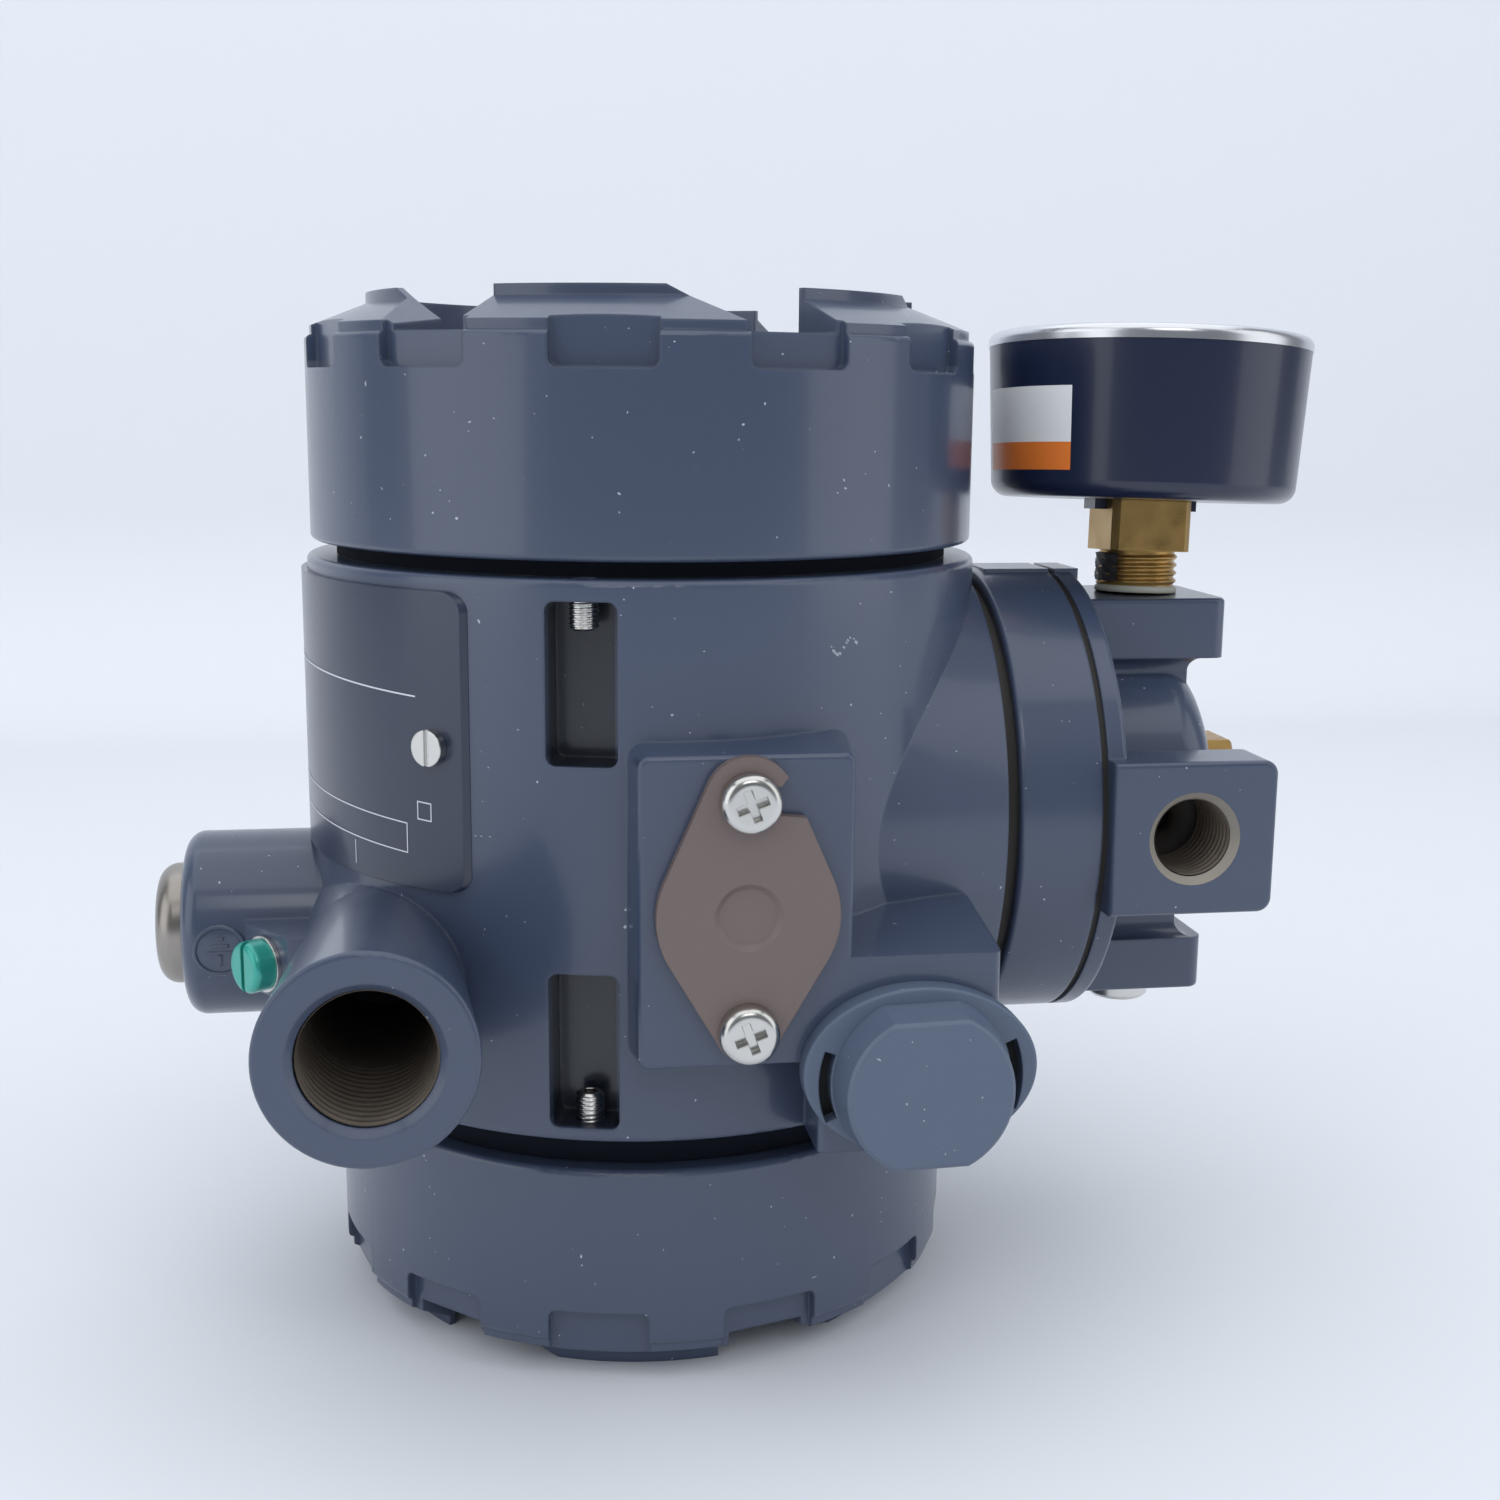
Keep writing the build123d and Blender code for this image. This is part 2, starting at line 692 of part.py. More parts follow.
with BuildPart() as housing:
    upright(body_radius, body_bottom, body_top)
    fillet(housing.edges().filter_by(GeomType.CIRCLE), body_edge)
    upright(upper_neck_radius, body_top, neck_top)
    upright(lower_neck_radius, neck_bottom, body_bottom)
    add(side_boss.part)
    add(filter_pad.part)
    add(vent_block.part)
    add(bosses.part)
    add(earth_lug.part)
    pad_middle = flange_z
    block(-back_pad_width / 2, back_pad_width / 2, 0, back_pad_reach,
          pad_middle - back_pad_height / 2, pad_middle + back_pad_height / 2)
    # Compartments above and below the wall
    upright(compartment_radius, wall_top, neck_top, mode=Mode.SUBTRACT)
    upright(compartment_radius, neck_bottom, wall_bottom, mode=Mode.SUBTRACT)
    upright(feedthrough_radius, wall_bottom, wall_top, mode=Mode.SUBTRACT)
    for x, y in module_screw_points:
        upright(module_screw_radius + fit_clearance, wall_top - module_screw_grip, wall_top, x, y,
                mode=Mode.SUBTRACT)
    # Conduit entries: a chamfered mouth, the thread's bore and a narrower throat behind it
    chamfer_depth = conduit_chamfer_radius - conduit_bore_radius
    front_thread_end = conduit_thread_length - front_conduit_reach
    left_thread_end = conduit_thread_length - left_conduit_reach
    endways(conduit_bore_radius, -front_conduit_reach, front_thread_end, front_conduit_x, conduit_z,
            mode=Mode.SUBTRACT)
    endways(conduit_throat_radius, front_thread_end, front_conduit_throat_end, front_conduit_x, conduit_z,
            mode=Mode.SUBTRACT)
    with Locations(Plane(origin=(front_conduit_x, -front_conduit_reach, conduit_z),
                         x_dir=(1, 0, 0), z_dir=(0, 1, 0))):
        Cone(conduit_chamfer_radius, conduit_bore_radius, chamfer_depth, align=LOW, mode=Mode.SUBTRACT)
    sideways(conduit_bore_radius + plug_clearance, -left_conduit_reach, left_thread_end, 0, left_conduit_z,
             mode=Mode.SUBTRACT)
    sideways(conduit_throat_radius, left_thread_end, -compartment_radius / 2, 0, left_conduit_z,
             mode=Mode.SUBTRACT)
    with Locations(Plane(origin=(-left_conduit_reach, 0, left_conduit_z), x_dir=(0, 1, 0), z_dir=(1, 0, 0))):
        Cone(conduit_chamfer_radius, conduit_bore_radius, chamfer_depth, align=LOW, mode=Mode.SUBTRACT)
    # Lock-screw pockets and their tapped holes
    for height in (pocket_low_z, pocket_high_z):
        x, y = around(body_radius - pocket_depth, pocket_azimuth)
        with Locations(Location((x, y, height), (0, 0, pocket_azimuth))):
            add(pocket.part, mode=Mode.SUBTRACT)
    lock_x, lock_y = around(lock_screw_circle, pocket_azimuth)
    upright(lock_screw_radius + fit_clearance, pocket_high_z, body_top, lock_x, lock_y, mode=Mode.SUBTRACT)
    low_lock_x, low_lock_y = around(lower_lock_screw_circle, pocket_azimuth)
    upright(lock_screw_radius + fit_clearance, body_bottom, pocket_low_z, low_lock_x, low_lock_y,
            mode=Mode.SUBTRACT)
    # Filter cavity, its ring groove and the cover's screw holes
    endways(filter_cavity_radius, -pad_reach, filter_cavity_depth - pad_reach, pad_x, filter_z,
            mode=Mode.SUBTRACT)
    with Locations(Plane(origin=(pad_x, -pad_reach, filter_z), x_dir=(1, 0, 0), z_dir=(0, 1, 0))):
        with BuildPart(mode=Mode.PRIVATE) as groove:
            Cylinder(filter_ring_radius + filter_ring_section + 0.1, 2 * filter_ring_section, align=LOW)
            Cylinder(filter_ring_radius - filter_ring_section - 0.1, 2 * filter_ring_section, align=LOW,
                     mode=Mode.SUBTRACT)
        add(groove.part, mode=Mode.SUBTRACT)
    for height in (filter_screw_low, filter_screw_high):
        endways(filter_screw_radius + fit_clearance, -pad_reach, filter_screw_length - pad_reach, pad_x,
                height, mode=Mode.SUBTRACT)
    # Vent passage
    endways(vent_passage_radius, -pad_reach, vent_block_top_depth / 2 - pad_reach, vent_x,
            vent_z, mode=Mode.SUBTRACT)
    # Flat face of the side boss, the signal chamber in it and the side cover's tapped holes
    sideways(side_boss_radius + 1, side_boss_face, 2 * side_boss_face, 0, flange_z, mode=Mode.SUBTRACT)
    sideways(relay_bore_radius, side_boss_face - signal_chamber_depth, side_boss_face, 0, flange_z,
             mode=Mode.SUBTRACT)
    for y, z in side_screw_points:
        sideways(side_screw_radius + fit_clearance, side_boss_face - side_screw_grip, side_boss_face, y, z,
                 mode=Mode.SUBTRACT)
    # Earth screw hole and back mounting holes
    with Locations(earth_axis):
        Cylinder(earth_screw_radius + fit_clearance, 2 * earth_screw_length, mode=Mode.SUBTRACT)
    for x in (-back_hole_spacing / 2, back_hole_spacing / 2):
        endways(back_hole_radius, back_pad_reach - back_hole_depth, back_pad_reach, x, pad_middle,
                mode=Mode.SUBTRACT)
    # Nameplate screw holes
    for azimuth in (plate_right_azimuth - plate_screw_inset, plate_left_azimuth + plate_screw_inset):
        x, y = around(body_radius, azimuth)
        direction = around(1.0, azimuth)
        with Locations(Plane(origin=(x, y, body_top - plate_screw_drop), x_dir=(0, 0, 1),
                             z_dir=(direction[0], direction[1], 0))):
            Cylinder(plate_screw_radius + fit_clearance, plate_hole_depth, mode=Mode.SUBTRACT)
finish(housing, "housing")

# Lock set screws, one for each cap
for name, x, y, bottom in (
    ("upper_lock_screw", lock_x, lock_y, body_top - pocket_web - lock_screw_show),
    ("lower_lock_screw", low_lock_x, low_lock_y,
     body_bottom + pocket_low_web + lock_screw_show - lock_screw_length),
):
    with BuildPart() as lock_screw:
        upright(lock_screw_radius, bottom, bottom + lock_screw_length, x, y)
        lock_edges = lock_screw.edges().filter_by(GeomType.CIRCLE)
        chamfer(lock_edges, lock_screw_chamfer)
        key_end = bottom if name == "upper_lock_screw" else bottom + lock_screw_length - hex_key_flats
        with BuildSketch(Plane.XY.offset(key_end)):
            with Locations((x, y)):
                RegularPolygon(hex_key_flats / 2, 6, major_radius=False)
        extrude(amount=hex_key_flats, mode=Mode.SUBTRACT)
    finish(lock_screw, name)

# Blanking plug in the left conduit boss
with BuildPart() as conduit_plug:
    plug_end = -left_conduit_reach - conduit_plug_show
    sideways(conduit_bore_radius + conduit_plug_rim, plug_end, -left_conduit_reach, 0, left_conduit_z)
    fillet(conduit_plug.edges().filter_by(GeomType.CIRCLE).group_by(Axis.X)[0], conduit_plug_edge)
    sideways(conduit_bore_radius, -left_conduit_reach, conduit_plug_length + plug_end, 0, left_conduit_z)
    with BuildSketch(Plane(origin=(plug_end, 0, left_conduit_z), x_dir=(0, 1, 0), z_dir=(1, 0, 0))):
        RegularPolygon(conduit_key_flats / 2, 6, major_radius=False)
    extrude(amount=conduit_key_depth, mode=Mode.SUBTRACT)
finish(conduit_plug, "conduit_plug")

# Earth screw and washer
washer_plane = earth_axis
head_plane = earth_axis.offset(earth_washer_thickness)
with BuildPart() as ground_washer:
    with BuildSketch(washer_plane):
        Circle(earth_washer_radius)
        Circle(earth_screw_radius + fit_clearance, mode=Mode.SUBTRACT)
    extrude(amount=earth_washer_thickness)
finish(ground_washer, "ground_washer")

with BuildPart() as ground_screw:
    with BuildSketch(head_plane):
        Circle(earth_head_radius)
    extrude(amount=earth_head_height)
    fillet(ground_screw.faces().sort_by(SortBy.DISTANCE)[-1].edges(), earth_head_edge)
    with BuildSketch(head_plane):
        Circle(earth_screw_radius)
    extrude(amount=-earth_screw_length)
    with BuildSketch(head_plane.offset(earth_head_height - earth_slot_depth)):
        Rectangle(3 * earth_head_radius, earth_slot_width)
    extrude(amount=earth_head_height, mode=Mode.SUBTRACT)
finish(ground_screw, "ground_screw")

# Nameplate bent round the body, and its two screws
plate_middle_z = body_top - plate_top_below_body - plate_height / 2
plate_azimuths = (plate_right_azimuth - plate_screw_inset, plate_left_azimuth + plate_screw_inset)
with BuildPart() as nameplate:
    with BuildSketch(Plane.XY.offset(plate_middle_z - plate_height / 2)):
        Circle(body_radius + plate_thickness)
        Circle(body_radius, mode=Mode.SUBTRACT)
    extrude(amount=plate_height)
    plate_span = radians(plate_right_azimuth - plate_left_azimuth)
    with BuildPart(mode=Mode.PRIVATE) as plate_window:
        middle_azimuth = (plate_right_azimuth + plate_left_azimuth) / 2
        x, y = around(1.0, middle_azimuth)
        with BuildSketch(Plane(origin=(0, 0, plate_middle_z), x_dir=(-y, x, 0), z_dir=(x, y, 0))):
            chord = 2 * (body_radius + plate_thickness) * sin(plate_span / 2)
            RectangleRounded(chord, plate_height, plate_corner)
        extrude(amount=2 * body_radius)
    add(plate_window.part, mode=Mode.INTERSECT)
    for azimuth in plate_azimuths:
        direction = around(1.0, azimuth)
        with Locations(Plane(origin=(*around(body_radius, azimuth), body_top - plate_screw_drop),
                             x_dir=(0, 0, 1), z_dir=(*direction, 0))):
            Cylinder(plate_screw_radius + fit_clearance, plate_hole_depth, mode=Mode.SUBTRACT)
finish(nameplate, "nameplate")

with BuildPart() as nameplate_screws:
    for azimuth in plate_azimuths:
        direction = around(1.0, azimuth)
        seat = Plane(origin=(*around(body_radius + plate_thickness, azimuth), body_top - plate_screw_drop),
                     x_dir=(0, 0, 1), z_dir=(*direction, 0))
        with BuildPart(seat, mode=Mode.PRIVATE) as one_screw:
            Cylinder(plate_screw_head_radius, plate_screw_head_height, align=LOW)
            Cylinder(plate_screw_radius, plate_screw_length, align=(Align.CENTER, Align.CENTER, Align.MAX))
            with Locations((0, 0, plate_screw_head_height)):
                Box(3 * plate_screw_head_radius, slot_width, slot_width, mode=Mode.SUBTRACT)
        add(one_screw.part)
finish(nameplate_screws, "nameplate_screws")

# Filter element, its ring, the cover and its screws
with BuildPart() as filter_element:
    endways(filter_cavity_radius - filter_element_gap, filter_element_gap - pad_reach,
            filter_cavity_depth - pad_reach, pad_x, filter_z)
finish(filter_element, "filter_element")

with BuildPart() as filter_oring:
    ring_y = 2 * filter_ring_section - pad_reach - filter_ring_section
    with Locations(Plane(origin=(pad_x, ring_y, filter_z), x_dir=(1, 0, 0), z_dir=(0, 1, 0))):
        Torus(filter_ring_radius, filter_ring_section)
finish(filter_oring, "filter_oring")

cover_back = -pad_reach - filter_play
cover_front = cover_back - filter_cover_thickness
with BuildPart() as filter_cover:
    with BuildSketch(Plane(origin=(pad_x, cover_back, 0), x_dir=(1, 0, 0), z_dir=(0, -1, 0))):
        with Locations((0, filter_z)):
            Circle(filter_cover_radius)
        with Locations((0, filter_screw_high)):
            Circle(filter_cover_top_radius)
        with Locations((0, filter_screw_low)):
            Circle(filter_cover_low_radius)
        make_hull()
        with Locations((0, filter_screw_high), (0, filter_screw_low)):
            Circle(filter_screw_radius + 2 * fit_clearance, mode=Mode.SUBTRACT)
        # The hook: the upper screw's slot runs out to the right
        with Locations((0, filter_screw_high)):
            Polygon(
                (0, filter_hook_half_slot),
                (filter_hook_neck, filter_hook_half_slot),
                (filter_hook_mouth, filter_hook_rise),
                (filter_hook_end, filter_hook_rise),
                (filter_hook_end, -filter_hook_fall),
                (filter_hook_neck, -filter_hook_half_slot),
                (0, -filter_hook_half_slot),
                align=None,
                mode=Mode.SUBTRACT,
            )
    extrude(amount=filter_cover_thickness)
    with Locations(Plane(origin=(pad_x, cover_front, filter_z), x_dir=(1, 0, 0), z_dir=(0, 1, 0))):
        Cone(filter_dimple_radius, filter_dimple_floor_radius, filter_dimple_depth, align=LOW,
             mode=Mode.SUBTRACT)
finish(filter_cover, "filter_cover")

with BuildPart() as filter_cover_screws:
    for height in (filter_screw_low, filter_screw_high):
        seat = Plane(origin=(pad_x, cover_front - filter_play, height), x_dir=(1, 0, 0), z_dir=(0, -1, 0))
        with BuildPart(seat, mode=Mode.PRIVATE) as one_screw:
            Cylinder(filter_head_radius, filter_head_height, align=LOW)
            fillet(one_screw.edges().filter_by(GeomType.CIRCLE).sort_by(Axis.Y)[0], filter_head_edge)
            shank = filter_screw_length + filter_cover_thickness + filter_play
            Cylinder(filter_screw_radius, shank, align=(Align.CENTER, Align.CENTER, Align.MAX))
            with Locations((0, 0, filter_head_height)):
                for turn in (filter_recess_turn, filter_recess_turn + 90):
                    Box(filter_recess_length, filter_recess_width, 2 * filter_recess_depth,
                        rotation=(0, 0, turn), mode=Mode.SUBTRACT)
        add(one_screw.part)
finish(filter_cover_screws, "filter_cover_screws")

# Vent on its block
vent_plane = Plane(origin=(vent_x, -pad_reach, vent_z), x_dir=(1, 0, 0), z_dir=(0, -1, 0))
with BuildPart() as vent_screen:
    with BuildSketch(vent_plane):
        Circle(vent_passage_radius - fit_clearance)
    extrude(amount=-vent_screen_thickness)
finish(vent_screen, "vent_screen")

with BuildPart() as vent_base:
    with BuildSketch(vent_plane):
        with Locations((0, vent_base_lift)):
            Ellipse(vent_base_radius, vent_base_half_height)
        Circle(vent_passage_radius - vent_lip, mode=Mode.SUBTRACT)
    extrude(amount=vent_base_thickness)
    fillet(vent_base.edges().group_by(Axis.Y)[0].sort_by(Edge.length)[-1], vent_base_edge)
    for side in (0, 180):
        with BuildSketch(vent_plane.offset(vent_base_thickness)):
            with BuildLine():
                first = side - vent_slot_angle / 2 - vent_tilt
                CenterArc((0, 0), vent_slot_outer, first, vent_slot_angle)
                CenterArc((0, 0), vent_slot_inner, first, vent_slot_angle)
                Line(
                    (vent_slot_inner * cos(radians(first)), vent_slot_inner * sin(radians(first))),
                    (vent_slot_outer * cos(radians(first)), vent_slot_outer * sin(radians(first))),
                )
                last = first + vent_slot_angle
                Line(
                    (vent_slot_inner * cos(radians(last)), vent_slot_inner * sin(radians(last))),
                    (vent_slot_outer * cos(radians(last)), vent_slot_outer * sin(radians(last))),
                )
            make_face()
        extrude(amount=-vent_slot_depth, mode=Mode.SUBTRACT)
finish(vent_base, "vent_base")

with BuildPart() as vent_cap:
    with BuildSketch(vent_plane.offset(vent_base_thickness)):
        Circle(vent_cap_radius)
        Rectangle(2 * vent_cap_radius, 2 * vent_cap_flat, rotation=-vent_tilt, mode=Mode.INTERSECT)
    extrude(amount=vent_cap_height, taper=vent_cap_draft)
    chamfer(vent_cap.edges().group_by(Axis.Y)[0], vent_cap_edge)
    with BuildSketch(vent_plane.offset(vent_base_thickness)):
        Circle(vent_passage_radius)
    extrude(amount=vent_cap_hollow, mode=Mode.SUBTRACT)
finish(vent_cap, "vent_cap")

# Relay on the side flange
with BuildPart() as flange_gasket:
    sideways(flange_gasket_radius, side_boss_face, relay_face, 0, flange_z)
    sideways(relay_bore_radius, side_boss_face, relay_face, 0, flange_z, mode=Mode.SUBTRACT)
    for y, z in side_screw_points:
        sideways(side_screw_radius + fit_clearance, side_boss_face, relay_face, y, z, mode=Mode.SUBTRACT)
finish(flange_gasket, "flange_gasket")

web_face = relay_face + relay_bore_depth
with BuildPart() as relay_body:
    sideways(relay_radius, relay_face, relay_end, 0, flange_z)
    fillet(relay_body.edges().filter_by(GeomType.CIRCLE).group_by(Axis.X)[0], relay_edge)
    tab_top = flange_z + relay_radius + relay_tab_rise
    tab_root = flange_z + relay_radius - relay_tab_root
    half_tab = relay_tab_width / 2
    block(relay_face + relay_tab_start, relay_end, -half_tab, half_tab, tab_root, tab_top)
    sideways(relay_bore_radius, relay_face, web_face, 0, flange_z, mode=Mode.SUBTRACT)
    sideways(diaphragm_radius, relay_face, relay_face + diaphragm_thickness, 0, flange_z, mode=Mode.SUBTRACT)
    sideways(valve_seat_radius, web_face, relay_end, 0, flange_z, mode=Mode.SUBTRACT)
    for y, z in side_screw_points:
        sideways(side_screw_radius + fit_clearance, relay_face, relay_end, y, z, mode=Mode.SUBTRACT)
finish(relay_body, "relay_body")

with BuildPart() as relay_diaphragm:
    sideways(diaphragm_radius - fit_clearance, relay_face, relay_face + diaphragm_thickness, 0, flange_z)
    sideways(relay_piston_radius + rest_gap, relay_face, relay_face + diaphragm_thickness, 0, flange_z,
             mode=Mode.SUBTRACT)
finish(relay_diaphragm, "relay_diaphragm")

piston_start = relay_face - piston_setback
piston_end = piston_start + relay_piston_thickness
seat_end = relay_end - relay_stroke / 2
seat_start = seat_end - valve_seat_length
with BuildPart() as relay_piston:
    sideways(relay_piston_radius, piston_start, piston_end, 0, flange_z)
    sideways(relay_stem_radius, piston_end, seat_end - rest_gap, 0, flange_z)
finish(relay_piston, "relay_piston")

with BuildPart() as valve_seat:
    sideways(valve_seat_radius, seat_start, seat_end, 0, flange_z)
    sideways(valve_seat_bore, seat_start, seat_end, 0, flange_z, mode=Mode.SUBTRACT)
finish(valve_seat, "valve_seat")

with BuildPart() as valve_plug:
    sideways(valve_plug_radius, seat_end, seat_end + valve_plug_length, 0, flange_z)
    sideways(valve_guide_radius, seat_end + valve_plug_length, seat_end + valve_plug_length + valve_guide_length,
             0, flange_z)
finish(valve_plug, "valve_plug")

with BuildPart() as relay_springs:
    spring_start = piston_end + rest_gap
    add(coil_spring((spring_start, 0, flange_z), (1, 0, 0), web_face - spring_start, relay_spring_radius,
                    relay_spring_wire, 2))
    spring_start = seat_end + valve_plug_length + rest_gap
    add(coil_spring((spring_start, 0, flange_z), (1, 0, 0), valve_cavity_end - spring_start,
                    valve_spring_radius, valve_spring_wire, 5))
finish(relay_springs, "relay_springs")

with BuildPart() as cover_gasket:
    sideways(cover_gasket_radius, relay_end, cover_face, 0, flange_z)
    sideways(valve_cavity_radius, relay_end, cover_face, 0, flange_z, mode=Mode.SUBTRACT)
    for y, z in side_screw_points:
        sideways(side_screw_radius + fit_clearance, relay_end, cover_face, y, z, mode=Mode.SUBTRACT)
finish(cover_gasket, "cover_gasket")

# Side cover: plate, hub, and four port pads on their necks


def port_arm(reach, thickness, end):
    """Port pad on its neck, reaching up from the side cover's axis."""
    half_pad = port_pad_width / 2
    half_neck = port_neck_width / 2
    under = reach - thickness
    with BuildPart() as arm:
        block(cover_face, end, -half_pad, half_pad, under, reach)
        fillet(arm.edges().filter_by(Axis.Z).group_by(Axis.X)[-1], port_pad_corner)
        fillet(arm.faces().sort_by(Axis.Z)[-1].edges(), port_pad_edge)
        block(cover_face, port_neck_end, -half_neck, half_neck, 0, under)
        joint_edges = arm.edges().filter_by_position(Axis.Z, under - fit_clearance, under + fit_clearance)
        joint_edges = joint_edges.filter_by_position(Axis.Y, -half_neck - fit_clearance, half_neck + fit_clearance)
        joint_edges = joint_edges.filter_by_position(Axis.X, cover_end, port_neck_end + fit_clearance)
        fillet(joint_edges, port_neck_fillet)
    return arm.part


side_arm = port_arm(side_pad_reach, side_pad_thickness, side_pad_end)
top_arm = port_arm(top_pad_reach, top_pad_thickness, top_pad_end)
bottom_arm = port_arm(bottom_pad_reach, bottom_pad_thickness, bottom_pad_end)

with BuildPart() as side_cover:
    sideways(relay_radius, cover_face, cover_end, 0, flange_z)
    fillet(side_cover.edges().filter_by(GeomType.CIRCLE).group_by(Axis.X)[-1], relay_edge)
    block(cover_face, cover_end + relay_tab_overhang, -half_tab, half_tab, tab_root, tab_top)
    with BuildPart(mode=Mode.PRIVATE) as hub:
        sideways(hub_radius, cover_face, hub_end, 0, flange_z)
        fillet(hub.edges().filter_by(GeomType.CIRCLE).group_by(Axis.X)[-1], hub_edge)
    add(hub.part)
    with Locations(Location((0, 0, flange_z))):
        add(top_arm)
    with Locations(Location((0, 0, flange_z), (180, 0, 0))):
        add(bottom_arm)
    with Locations(Location((0, 0, air_port_z), (90, 0, 0)), Location((0, 0, air_port_z), (-90, 0, 0))):
        add(side_arm)
    # Valve cavity and the passages that lead from it to the four ports
    sideways(valve_cavity_radius, cover_face, valve_cavity_end, 0, flange_z, mode=Mode.SUBTRACT)
    endways(port_passage_radius, -side_pad_reach, 0, air_port_x, air_port_z, mode=Mode.SUBTRACT)
    endways(port_passage_radius, 0, side_pad_reach, port_x, flange_z, mode=Mode.SUBTRACT)
    upright(port_passage_radius, bottom_face, gauge_block_top, port_x, 0, mode=Mode.SUBTRACT)
    endways(air_port_radius, -side_pad_reach, air_port_depth - side_pad_reach, air_port_x, air_port_z,
            mode=Mode.SUBTRACT)
    with Locations(Plane(origin=(air_port_x, -side_pad_reach, air_port_z), x_dir=(1, 0, 0), z_dir=(0, 1, 0))):
        Cone(air_port_chamfer_radius, air_port_radius, air_port_chamfer_radius - air_port_radius, align=LOW,
             mode=Mode.SUBTRACT)
    endways(plug_thread_radius + plug_clearance, side_pad_reach - plug_thread_length, side_pad_reach,
            port_x, flange_z, mode=Mode.SUBTRACT)
    upright(plug_thread_radius + plug_clearance, bottom_face, bottom_face + plug_thread_length, port_x, 0,
            mode=Mode.SUBTRACT)
    upright(gauge_thread_radius + plug_clearance, gauge_block_top - gauge_thread_length, gauge_block_top,
            port_x, 0, mode=Mode.SUBTRACT)
    sideways(hub_plug_thread_radius + plug_clearance, hub_end - hub_plug_thread_length, hub_end, 0, flange_z,
             mode=Mode.SUBTRACT)
    for y, z in side_screw_points:
        sideways(side_screw_radius + fit_clearance, cover_face, cover_end, y, z, mode=Mode.SUBTRACT)
        with Locations(Plane(origin=(cover_end - side_screw_head_height, y, z), x_dir=(0, 1, 0),
                             z_dir=(1, 0, 0))):
            Cone(side_screw_radius + fit_clearance, side_screw_head_radius + fit_clearance,
                 side_screw_head_height, align=LOW, mode=Mode.SUBTRACT)
finish(side_cover, "side_cover")

with BuildPart() as side_cover_screws:
    for y, z in side_screw_points:
        sideways(side_screw_radius, side_boss_face - side_screw_grip, cover_end, y, z)
        with Locations(Plane(origin=(cover_end - side_screw_head_height, y, z), x_dir=(0, 1, 0),
                             z_dir=(1, 0, 0))):
            Cone(side_screw_radius, side_screw_head_radius, side_screw_head_height, align=LOW)
        with BuildSketch(Plane(origin=(cover_end, y, z), x_dir=(0, 1, 0), z_dir=(1, 0, 0))):
            RegularPolygon(side_screw_key_flats / 2, 6, major_radius=False)
        extrude(amount=-side_screw_key_depth, mode=Mode.SUBTRACT)
finish(side_cover_screws, "side_cover_screws")

with BuildPart() as hub_plug:
    sideways(hub_plug_thread_radius, hub_end - hub_plug_thread_length, hub_end, 0, flange_z)
    with BuildSketch(Plane(origin=(hub_end, 0, flange_z), x_dir=(0, 1, 0), z_dir=(1, 0, 0))):
        RegularPolygon(hub_plug_flats / 2, 6, major_radius=False)
    extrude(amount=hub_plug_height)
    chamfer(hub_plug.edges().group_by(Axis.X)[-1], hub_plug_edge)
finish(hub_plug, "hub_plug")

with BuildPart() as port_plugs:
    upright(plug_head_radius, bottom_face - plug_head_height, bottom_face, port_x, 0)
    chamfer(port_plugs.edges().filter_by(GeomType.CIRCLE).group_by(Axis.Z)[0], hub_plug_edge)
    upright(plug_thread_radius, bottom_face, bottom_face + plug_thread_length, port_x, 0)
    endways(plug_thread_radius, side_pad_reach - plug_thread_length, side_pad_reach, port_x, flange_z)
    block(port_x - plug_square / 2, port_x + plug_square / 2, side_pad_reach,
          side_pad_reach + plug_square_height, flange_z - plug_square / 2, flange_z + plug_square / 2)
finish(port_plugs, "port_plugs")

# Pressure gauge: it leans a little in its thread, so every piece is turned about the thread's mouth
lean = Pos(port_x, 0, gauge_block_top) * Rotation(gauge_lean_back, gauge_lean_right, 0)
gauge_place = lean * Pos(-port_x, 0, -gauge_block_top)
gauge_floor = gauge_case_bottom + gauge_case_wall
block_top = gauge_floor + gauge_block_height
half_square = gauge_square / 2
with BuildPart() as socket_head:
    upright(gauge_thread_radius, gauge_block_top, gauge_square_bottom, port_x, 0)
    with BuildPart(mode=Mode.PRIVATE) as square:
        block(port_x - half_square, port_x + half_square, -half_square, half_square, gauge_square_bottom,
              gauge_case_bottom)
        chamfer(square.edges().filter_by(Axis.Z), gauge_square_edge)
    add(square.part)
    upright(gauge_neck_radius, gauge_case_bottom, gauge_floor, port_x, 0)
    block(port_x - gauge_neck_radius, port_x + gauge_neck_radius, -gauge_tube_radius - 2, gauge_neck_radius,
          gauge_floor, block_top)

with BuildPart() as gauge_socket:
    add(gauge_place * socket_head.part)
    upright(gauge_thread_radius, gauge_block_top - gauge_thread_length + gauge_thread_gap, gauge_block_top,
            port_x, 0)
    upright(gauge_passage_radius, gauge_block_top - gauge_thread_length, block_top - 2 * gauge_passage_radius,
            port_x, 0, mode=Mode.SUBTRACT)
finish(gauge_socket, "gauge_socket")

